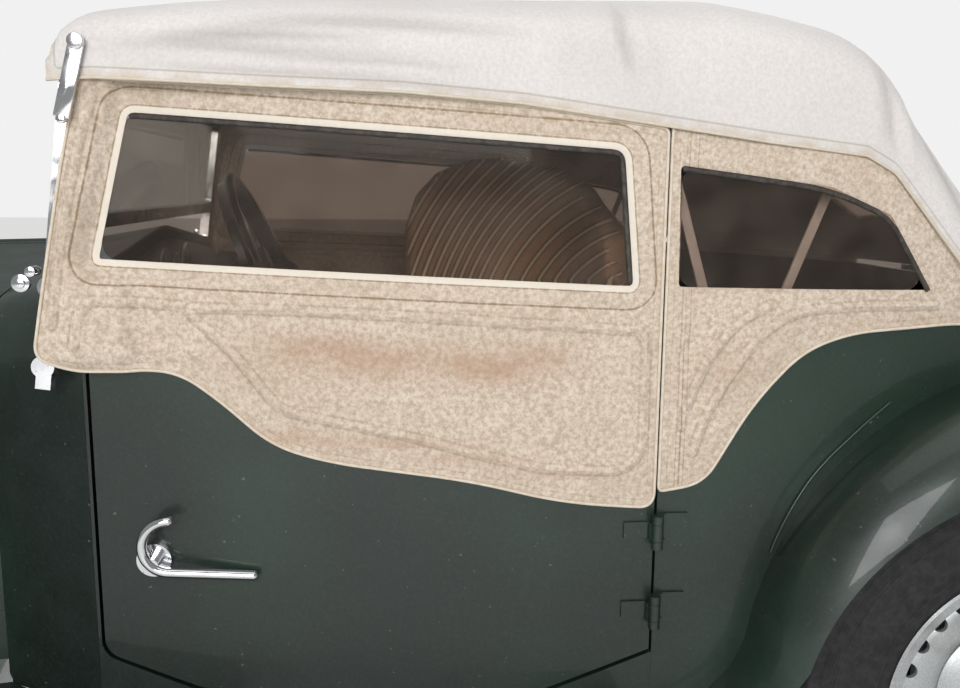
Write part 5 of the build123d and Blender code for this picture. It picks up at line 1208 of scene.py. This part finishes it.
def pin(middle: Vector, radius: float, length: float, axis: str = "Y") -> bpy.types.Object:
    """Make a round pin or boss with a small chamfer, across the car or along it."""
    turns = {"Y": (math.pi / 2, 0, 0), "X": (0, math.pi / 2, 0), "Z": (0, 0, 0)}
    clear_selection()
    bpy.ops.mesh.primitive_cylinder_add(
        vertices=32, radius=radius / 1000, depth=length / 1000, location=middle, rotation=turns[axis]
    )
    piece = bpy.context.object
    apply_modifier(piece, "BEVEL", width=0.0012, segments=2)
    return piece


# Seats


@dataclass(frozen=True)
class Cushion:
    """A stuffed hide pad: two sheets sewn at the rim, with piped pleats on the face."""

    name: str
    columns: int
    rows: int
    swell: float = 5.0

    def sew(
        self,
        face: Callable[[np.ndarray, np.ndarray], tuple[np.ndarray, np.ndarray]],
        depth: Callable[[np.ndarray, np.ndarray], np.ndarray],
        pleats: Callable[[np.ndarray], tuple[np.ndarray, np.ndarray]],
    ) -> bpy.types.Object:
        """Make both sheets, stuff them and join them at the rim.

        Args:
            face: Gives the middle surface and its outward direction from two shares.
            depth: Gives half the pad's thickness, which is nought at the rim.
            pleats: Gives each point's pleat number, whole on a piping line, and the pleats' pitch.

        Returns:
            The pad.
        """
        sheets = []
        for side in (1, -1):
            sheet = grid(self.columns, self.rows, self.name)
            share = read_points(sheet)
            u, v = share[:, 0], share[:, 1]
            middle, outward = face(u, v)
            half = depth(u, v)
            number, pitch = pleats(middle + outward * half[:, None])
            if side == -1:
                number, pitch = np.full(len(u), 0.5), np.full(len(u), 60.0)
            share = 2 * np.abs((number + 0.5) % 1 - 0.5)
            raised = self.swell * np.sqrt(1 - (1 - share) ** 2) * np.clip(half / 14, 0, 1) * (side == 1)
            points = middle + outward * (side * half + raised)[:, None]
            write_points(sheet, points / 1000 + [AXLE_X, 0, 0])
            keep_value(sheet, "pleat", number)
            keep_value(sheet, "pitch_mm", pitch)
            sheets.append(sheet)
        pad = join(sheets)
        weld(pad)
        settle(pad, self.name, HIDE, "body", 60)
        return pad


FAN_EYE = np.array([918.0, 1856.0, 1065.0])
FAN_HUB = (368.0, 745.0)
FAN_RADII = (0, 90, 120, 148, 174, 200, 226, 252, 280, 310, 342, 368, 388, 406, 423, 439, 455, 472, 492, 513, 534, 556, 580,
             604, 630, 660)


def squab(hand: Hand) -> bpy.types.Object:
    """Make a bucket seat's back: it wraps from the near end round to a wing beside the centre line."""
    front, wing, back, corner, near, floor = 868.0, 52.0, 548.0, 142.0, 452.0, 478.0
    straight = front - back - corner
    bend = corner * math.pi / 2
    total = straight + bend + near - wing - corner
    crest = ((0, 985), (22, 1051), (64, 1095), (121, 1118), (187, 1124), (255, 1114), (345, 1087), (471, 1047),
             (600, 1014), (total - 20, 996), (total, 930))

    def heights(u: np.ndarray, v: np.ndarray) -> tuple[np.ndarray, np.ndarray, np.ndarray]:
        run = u * total
        top = np.interp(run, [c[0] for c in crest], [c[1] for c in crest])
        return run, floor + v * (top - floor), top

    def face(u: np.ndarray, v: np.ndarray) -> tuple[np.ndarray, np.ndarray]:
        run, up, _ = heights(u, v)
        turn = np.clip((run - straight) / corner, 0, math.pi / 2)
        ahead = front - np.minimum(run, straight) - corner * np.sin(turn)
        left = wing + corner * (1 - np.cos(turn)) + np.maximum(run - straight - bend, 0)
        outward = np.c_[np.sin(turn), np.cos(turn) * hand.value, np.zeros(len(u))]
        return np.c_[ahead, left * hand.value, up], outward

    def depth(u: np.ndarray, v: np.ndarray) -> np.ndarray:
        run, up, top = heights(u, v)
        rim = np.minimum(np.minimum(run, total - run), np.minimum(top - up, up - floor))
        return 20.0 * np.sqrt(np.clip(1 - (1 - np.clip(rim / 24, 0, 1)) ** 2, 0, 1))

    def pleats(points: np.ndarray) -> tuple[np.ndarray, np.ndarray]:
        side = points * [1, hand.value, 1]
        seen = FAN_EYE + (side - FAN_EYE) * ((FAN_EYE[1] - wing) / (FAN_EYE[1] - side[:, 1]))[:, None]
        radius = np.hypot(seen[:, 0] - FAN_HUB[0], np.maximum(seen[:, 2], 890) - FAN_HUB[1])
        number = np.interp(radius, FAN_RADII, np.arange(len(FAN_RADII)))
        pitch = np.interp(radius, FAN_RADII, np.gradient(FAN_RADII))
        return number, pitch

    return Cushion(f"squab_{hand.word}", 200, 80, 6.0).sew(face, depth, pleats)


def seat_pad(hand: Hand) -> bpy.types.Object:
    """Make a sprung seat cushion with pleats that run fore and aft."""
    rear, front, inner, outer, level, pleat = 604.0, 1062.0, 108.0, 492.0, 412.0, 38.0

    def face(u: np.ndarray, v: np.ndarray) -> tuple[np.ndarray, np.ndarray]:
        ahead = rear + v * (front - rear)
        left = (inner + u * (outer - inner)) * hand.value
        up = level + 14 * v
        return np.c_[ahead, left, up], np.tile([0.0, 0.0, 1.0], (len(u), 1))

    def depth(u: np.ndarray, v: np.ndarray) -> np.ndarray:
        rim = np.minimum(np.minimum(u, 1 - u) * (outer - inner), np.minimum(v, 1 - v) * (front - rear))
        return 52.0 * np.clip(1 - (1 - np.clip(rim / 60, 0, 1)) ** 2.6, 0, 1) ** 0.5

    def pleats(points: np.ndarray) -> tuple[np.ndarray, np.ndarray]:
        return (np.abs(points[:, 1]) - 300) / pleat, np.full(len(points), pleat)

    return Cushion(f"seat_pad_{hand.word}", 110, 44, 6.0).sew(face, depth, pleats)


# Wheels, brightwork and fittings


@dataclass(frozen=True)
class Tyre:
    """A crossply tyre with a zigzag ribbed tread and moulded rings at its shoulder."""

    radius: float = 332.0
    segments: int = 168
    grooves: tuple[float, ...] = (-36.0, -13.0, 13.0, 36.0)
    groove_half: float = 2.6
    groove_deep: float = 5.5
    rings: tuple[tuple[float, float], ...] = ((308.0, 3.0), (300.0, 3.0), (292.0, 3.0), (232.0, 3.4), (224.0, 3.4))

    def profile(self) -> np.ndarray:
        """Give the section from one bead over the tread to the other, and back inside.

        Returns:
            For each point its place across, its radius and how far it follows the zigzag.
        """
        half: list[tuple[float, float, float]] = []
        crown = 305.0
        for y in (0.0, 6.0):
            half.append((y, self.radius - crown + math.sqrt(crown**2 - y**2), 0.5))
        for middle in [g for g in self.grooves if g > 0]:
            for offset, deep in ((-1.0, 0.0), (-0.5, 1.0), (0.5, 1.0), (1.0, 0.0)):
                y = middle + offset * self.groove_half
                top = self.radius - (crown - math.sqrt(crown**2 - y**2)) * 0.55
                half.append((y, top - deep * self.groove_deep, 1.0))
        half.append((47.0, self.radius - 5.4, 0.3))
        half.append((51.5, self.radius - 7.6, 0.0))
        half.append((54.0, self.radius - 11.0, 0.0))
        for r in (316.0, 312.0, *[r + d for r, _ in self.rings for d in (3.0, 1.5, -1.5, -3.0)], 282.0, 272.0, 262.0,
                  252.0, 242.0, 216.0):
            across = 71.0 - 19.0 * ((r - 266) / 55) ** 2 if r > 266 else 71.0 - 11.0 * ((266 - r) / 58) ** 2
            lift = sum(h for ring, h in self.rings if abs(r - ring) < 2)
            half.append((across + lift * 0.5, r, 0.0))
        wall = sorted(half[half.index(next(h for h in half if h[1] == 316.0)):], key=lambda h: -h[1])
        half = half[: len(half) - len(wall)] + wall
        half += [(59.5, 208.0, 0.0), (54.0, 191.6, 0.0), (31.0, 191.6, 0.0), (34.0, 240.0, 0.0), (26.0, 290.0, 0.0),
                 (0.0, 310.0, 0.0)]
        other = [(-y, r, z) for y, r, z in half[1:-1]][::-1]
        return np.array(half + other + half[:1])

    def build(self, name: str, middle: Vector, turned: bool, body: str, node: str) -> None:
        """Spin the section round the wheel's axis.

        Args:
            name: The tyre's name.
            middle: The wheel's centre in metres.
            turned: Whether the axle runs along the car, as the spare's does.
            body: The body that it rides on.
            node: The CAD node that it stands for.
        """
        section = self.profile()
        piece = grid(self.segments, len(section) - 1, name)
        share = read_points(piece)
        turn = share[:, 0] * 2 * math.pi
        slot = np.rint(share[:, 1] * (len(section) - 1)).astype(int)
        across, radius, follow = section[slot].T
        step = np.rint(share[:, 0] * self.segments).astype(int) % 4
        across = across + follow * np.array([-2.0, 0.0, 2.0, 0.0])[step]
        spun = np.c_[radius * np.sin(turn), across, radius * np.cos(turn)] / 1000
        if turned:
            spun = spun[:, [1, 0, 2]]
        write_points(piece, spun + np.array(middle))
        weld(piece)
        settle(piece, name, RUBBER, body, 35)
        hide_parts(node)


def fit_tyres(frame: dict) -> None:
    """Put a treaded tyre on each wheel and on the spare, at the CAD tyres' centres."""
    for node in frame["nodes"]:
        if "tyre" not in node:
            continue
        low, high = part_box(node)
        middle = (Vector(low) + Vector(high)) / 2
        spare = node == "spare_tyre"
        body = "body" if spare else node.replace("tyre_", "")
        Tyre().build(node + "_treaded", middle, spare, body, node)


APRON_STRIP = (
    ((1492, 428.5, 334), (1492, 454, 281.5)),
    ((1570, 428.5, 334), (1570, 463, 293.5)),
    ((1630, 428.5, 334), (1630, 465, 304)),
    ((1690, 428.5, 334), (1690, 462, 317)),
    ((1750, 428.5, 334), (1750, 453, 331.5)),
    ((1810, 428.5, 346), (1810, 445, 349)),
    ((1870, 428.5, 362), (1870, 436, 368)),
    ((1905, 428.5, 379), (1905, 431, 386)),
)
APRON_FLAP = (
    ((1985, 428.5, 611), (1985, 428.5, 440)),
    ((2010, 428.5, 611), (2010, 428.5, 455)),
    ((2050, 428.5, 611), (2050, 428.5, 505)),
    ((2090, 428.5, 611), (2090, 428.5, 560)),
    ((2130, 428.5, 611), (2130, 428.5, 600)),
    ((2146, 428.5, 611), (2146, 428.5, 609.5)),
)


def strip_between(stations: Sequence[tuple[Point, Point]], side: int) -> bpy.types.Object:
    """Make a thin sheet-metal strip between two edges.

    Args:
        stations: Pairs of points (forward, outward, up) in millimetres, one pair across the strip each.
        side: 1 for the left of the car and -1 for the right.

    Returns:
        The new closed piece.
    """
    piece = grid(len(stations) - 1, 1, "strip")
    edges = np.array([[at(x, left * side, z) for x, left, z in pair] for pair in stations])

    def place(points: np.ndarray) -> np.ndarray:
        columns = np.rint(points[:, 0] * (len(stations) - 1)).astype(int)
        return edges[columns, np.rint(points[:, 1]).astype(int)]

    shift_points(piece, place)
    apply_modifier(piece, "SOLIDIFY", thickness=0.0015, offset=0.0)
    weld(piece)
    return piece


def fit_aprons() -> None:
    """Close the slits between the side panels and the front wings."""
    for hand in Hand:
        strips = [strip_between(stations, hand.value) for stations in (APRON_STRIP, APRON_FLAP)]
        settle(join(strips), f"wing_apron_{hand.word}", PAINT, "body", 30)


def fit_brightwork() -> None:
    """Add the wing welts, gauges and small bright fittings."""
    welt = ((181, 762), (217, 734), (245, 709), (271, 686), (299, 655), (319, 624), (336, 592), (349, 562), (355, 544))
    smooth = rounded(welt, [20] * len(welt), 8.0, False)
    for hand in Hand:
        cord = cord_along([at(x, hand.value * (half_width(np.array([x]))[0] + 2.0), z) for x, z in smooth], 2.4, "welt")
        settle(cord, f"wing_welt_{hand.word}", PAINT, "body", 60)
        side = hand.value
        clamp = [bar((1297, 1246), (1322, 1150), 584 * side, 20, 5), pin(at(1298, 586 * side, 1244), 10, 12),
                 pin(at(1322, 584 * side, 1148), 6, 10), pin(at(1376, 566 * side, 952), 7, 26),
                 pin(at(1392, 566 * side, 936), 12, 8), pin(at(1392, 571 * side, 936), 7, 8)]
        settle(join(clamp), f"post_clamp_{hand.word}", CHROME, "body")
    for index, (left, radius) in enumerate(((95.0, 44.0), (-95.0, 44.0), (0.0, 30.0))):
        clear_selection()
        bpy.ops.mesh.primitive_torus_add(
            major_radius=radius / 1000, minor_radius=0.0035, major_segments=40, minor_segments=10,
            location=at(1311, left, 905), rotation=(0, math.pi / 2, 0),
        )
        settle(bpy.context.object, f"gauge_rim_{index}", CHROME, "body")
        settle(pin(at(1311.5, left, 905), radius - 1, 5, "X"), f"gauge_face_{index}", BAKELITE, "body")


@dataclass
class Staging:
    """The pale floor, soft lights and the camera at the photograph's place."""

    eye: tuple[float, float, float] = (918.2, 1855.7, 1065.5)
    yaw: float = 6.13
    pitch: float = -9.49
    roll: float = 0.50
    focal_px: float = 932.9
    width_px: float = 960.0
    lamps: tuple[tuple[str, tuple[float, float, float], tuple[float, float, float], float, float], ...] = (
        ("Key_Softbox", (0.7, 5.6, 2.7), (-0.3, 0.3, 0.8), 3.0, 232.0),
        ("Top_Softbox", (-0.2, 0.4, 4.6), (-0.2, 0.2, 0.8), 4.0, 50.0),
        ("Far_Softbox", (-2.5, -5.0, 3.2), (-0.2, 0.0, 0.8), 3.0, 100.0),
    )

    def build(self) -> None:
        """Set the floor, the world, the lamps and the camera."""
        self.floor()
        self.world()
        for name, place, target, size, power in self.lamps:
            self.lamp(name, Vector(place), Vector(target), size, power)
        self.camera()
        bpy.context.scene.view_settings.view_transform = "Standard"

    def floor(self) -> None:
        """Lay a pale floor that shows as near white and keeps the shadow."""
        clear_selection()
        bpy.ops.mesh.primitive_plane_add(size=60, location=(0, 0, 0))
        floor = bpy.context.object
        floor.name = "Floor"
        paper = PlainFinish("Pale_Floor_Paper", "", "#E6E6E4", "#E2E2E0", 400, 0.8, 0.0, 0.0).make()
        tree = paper.node_tree
        seen = add_node(tree, "ShaderNodeLightPath").outputs["Is Camera Ray"]
        glow = add_node(tree, "ShaderNodeMath", {0: seen, 1: 0.40}, operation="MULTIPLY").outputs[0]
        tree.nodes["Principled BSDF"].inputs["Emission Color"].default_value = (1.0, 1.0, 1.0, 1.0)
        tree.links.new(glow, tree.nodes["Principled BSDF"].inputs["Emission Strength"])
        floor.data.materials.append(paper)

    def world(self) -> None:
        """Light softly all round, and show white behind."""
        world = bpy.data.worlds.new("Studio")
        bpy.context.scene.world = world
        world.use_nodes = True
        tree = world.node_tree
        tree.nodes.clear()
        path = add_node(tree, "ShaderNodeLightPath")
        seen = add_node(tree, "ShaderNodeMath",
                        {0: path.outputs["Is Camera Ray"], 1: path.outputs["Is Transmission Ray"]},
                        operation="MAXIMUM").outputs[0]
        direct = add_node(tree, "ShaderNodeMapRange", {"Value": seen, "To Min": 0.42, "To Max": 0.88}).outputs[0]
        softer = add_node(tree, "ShaderNodeMapRange",
                          {"Value": path.outputs["Is Glossy Ray"], "To Min": 1.0, "To Max": 0.7}).outputs[0]
        strength = add_node(tree, "ShaderNodeMath", {0: direct, 1: softer}, operation="MULTIPLY").outputs[0]
        glow = add_node(tree, "ShaderNodeBackground", {"Color": (1, 1, 1, 1), "Strength": strength})
        out = add_node(tree, "ShaderNodeOutputWorld")
        tree.links.new(glow.outputs[0], out.inputs[0])

    def lamp(self, name: str, place: Vector, target: Vector, size: float, power: float) -> None:
        """Hang one square softbox that looks at a target."""
        light = bpy.data.lights.new(name, "AREA")
        light.size = size
        light.energy = power
        holder = bpy.data.objects.new(name, light)
        holder.location = place
        holder.rotation_euler = (target - place).to_track_quat("-Z", "Y").to_euler()
        bpy.context.collection.objects.link(holder)

    def camera(self) -> None:
        """Put the camera where the photograph was taken."""
        yaw, pitch, roll = (math.radians(a) for a in (self.yaw, self.pitch, self.roll))
        ahead = Vector((-math.sin(yaw) * math.cos(pitch), -math.cos(yaw) * math.cos(pitch), math.sin(pitch)))
        right = ahead.cross(Vector((0, 0, 1))).normalized()
        up = right.cross(ahead)
        turned = right * math.cos(roll) + up * math.sin(roll)
        up = up * math.cos(roll) - right * math.sin(roll)
        camera = bpy.data.cameras.new("Photo_Camera")
        camera.sensor_width = 36.0
        camera.lens = self.focal_px / self.width_px * 36.0
        camera.clip_start = 0.05
        holder = bpy.data.objects.new("Photo_Camera", camera)
        basis = Matrix((turned, up, -ahead)).transposed().to_4x4()
        holder.matrix_world = Matrix.Translation(at(*self.eye)) @ basis
        bpy.context.collection.objects.link(holder)
        bpy.context.scene.camera = holder


FRONT_OUTLINE = (
    (1303, 1203), (1083, 1192), (890, 1186), (731, 1174), (534, 1146), (534, 618), (667, 629), (796, 662),
    (989, 688), (1069, 711), (1140, 775), (1197, 815), (1335, 815), (1381, 836),
    (1364, 927), (1327, 1108),
)
FRONT_RADII = (10, 60, 60, 60, 8, 24, 60, 60, 50, 50, 40, 40, 24, 20, 50, 60)
FRONT_WINDOW = ((1246, 1160), (593, 1117), (575, 935), (1296, 967))
FRONT_WINDOW_RADII = (10, 16, 8, 3)
FRONT_WELTS = (
    (((1186, 903), (1121, 844), (1056, 761), (982, 746), (866, 722), (783, 699), (691, 678), (583, 673), (553, 701),
      (554, 873), (866, 893), (1025, 900)), 22, True),
    (((1329, 850), (1322, 892), (1306, 913), (1256, 910), (1191, 905)), 14, False),
    (((1356, 880), (1337, 1000), (1306, 1125), (1285, 1186)), 40, False),
)
FRONT_FOLDS = (
    ((1316, 842), (1180, 838), 10, 2.6), ((1322, 856), (1200, 852), 9, -1.6), ((1240, 884), (1150, 832), 14, 2.0),
    ((1320, 880), (1290, 835), 8, 2.2), ((1060, 733), (900, 700), 8, 1.8), ((1080, 748), (960, 718), 7, -1.4),
    ((860, 706), (690, 664), 7, 1.4), ((1130, 870), (1060, 780), 20, 1.6), ((1040, 880), (620, 850), 34, 2.6),
    ((1000, 800), (640, 770), 40, 2.4), ((575, 700), (560, 860), 10, 1.6), ((640, 926), (560, 916), 10, 2.6),
    ((640, 905), (556, 896), 7, -2.0),
)
FRONT_STAINS = (
    (900, 830, 150, 26, 0.9), (1010, 852, 70, 20, 0.55), (770, 818, 90, 22, 0.6), (690, 842, 60, 18, 0.4),
    (930, 716, 130, 9, 0.7), (800, 693, 90, 9, 0.5), (690, 668, 70, 8, 0.35), (1050, 728, 50, 9, 0.4),
)
REAR_OUTLINE = (
    (528, 1158), (396, 1142), (250, 1126), (204, 1100), (128, 1010), (84, 963), (46, 904), (42, 873), (88, 876),
    (253, 867), (326, 842), (395, 770), (463, 653), (528, 642),
)
REAR_RADII = (8, 60, 60, 50, 60, 50, 20, 6, 40, 60, 60, 60, 30, 8)
REAR_WINDOW = ((515, 1098), (299, 1071), (205, 1033), (130, 926), (511, 934))
REAR_WINDOW_RADII = (6, 60, 30, 4, 4)
REAR_SEAMS = (((497, 1150), (499, 900), (500, 650)),)
REAR_WELTS = (
    (((375, 909), (411, 893), (443, 865), (470, 827), (488, 780), (500, 736)), 40, False),
    (((120, 904), (242, 905), (331, 900), (371, 883), (408, 846), (439, 801), (469, 743), (481, 699)), 40, False),
)
REAR_FOLDS = (
    ((510, 760), (440, 880), 14, 3.2), ((520, 800), (470, 900), 9, -2.4), ((505, 700), (400, 850), 11, 2.6),
    ((430, 780), (340, 872), 8, 1.8), ((470, 690), (430, 760), 8, 2.0), ((524, 860), (480, 905), 9, 2.0),
)
REAR_STAINS = ((430, 820, 60, 30, 0.35), (200, 880, 120, 10, 0.3))


def dress_nodes(frame: dict) -> None:
    """Give every kept CAD node its finish."""
    for name, piece in frame["nodes"].items():
        finish = NODE_FINISHES.get(name) or SOFT_FINISHES.get(name)
        if finish is None:
            raise ValueError(f"no finish for {name}")
        if not piece.material_slots:
            piece.data.materials.append(finish.make())
        for place in piece.material_slots:
            place.material = finish.make()


def main() -> None:
    """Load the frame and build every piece."""
    logging.basicConfig(level=logging.INFO, format="%(message)s")
    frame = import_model()
    dress_nodes(frame)
    Staging().build()
    Hood().build()
    for hand in Hand:
        SideCurtain(
            f"front_curtain_{hand.word}", hand, f"{hand.word}_door", FRONT_OUTLINE, FRONT_RADII, FRONT_WINDOW,
            FRONT_WINDOW_RADII, (0, 2), True, FRONT_WELTS, (), FRONT_FOLDS, FRONT_STAINS,
        ).build()
        SideCurtain(
            f"rear_curtain_{hand.word}", hand, "body", REAR_OUTLINE, REAR_RADII, REAR_WINDOW,
            REAR_WINDOW_RADII, (0, 3), False, REAR_WELTS, REAR_SEAMS, REAR_FOLDS, REAR_STAINS,
        ).build()
        back, pad = squab(hand), seat_pad(hand)
        if hand is Hand.LEFT:
            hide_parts("seat_back")
            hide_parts("seat_cushions")
    fit_tyres(frame)
    fit_aprons()
    fit_brightwork()


if __name__ == "__main__":
    main()
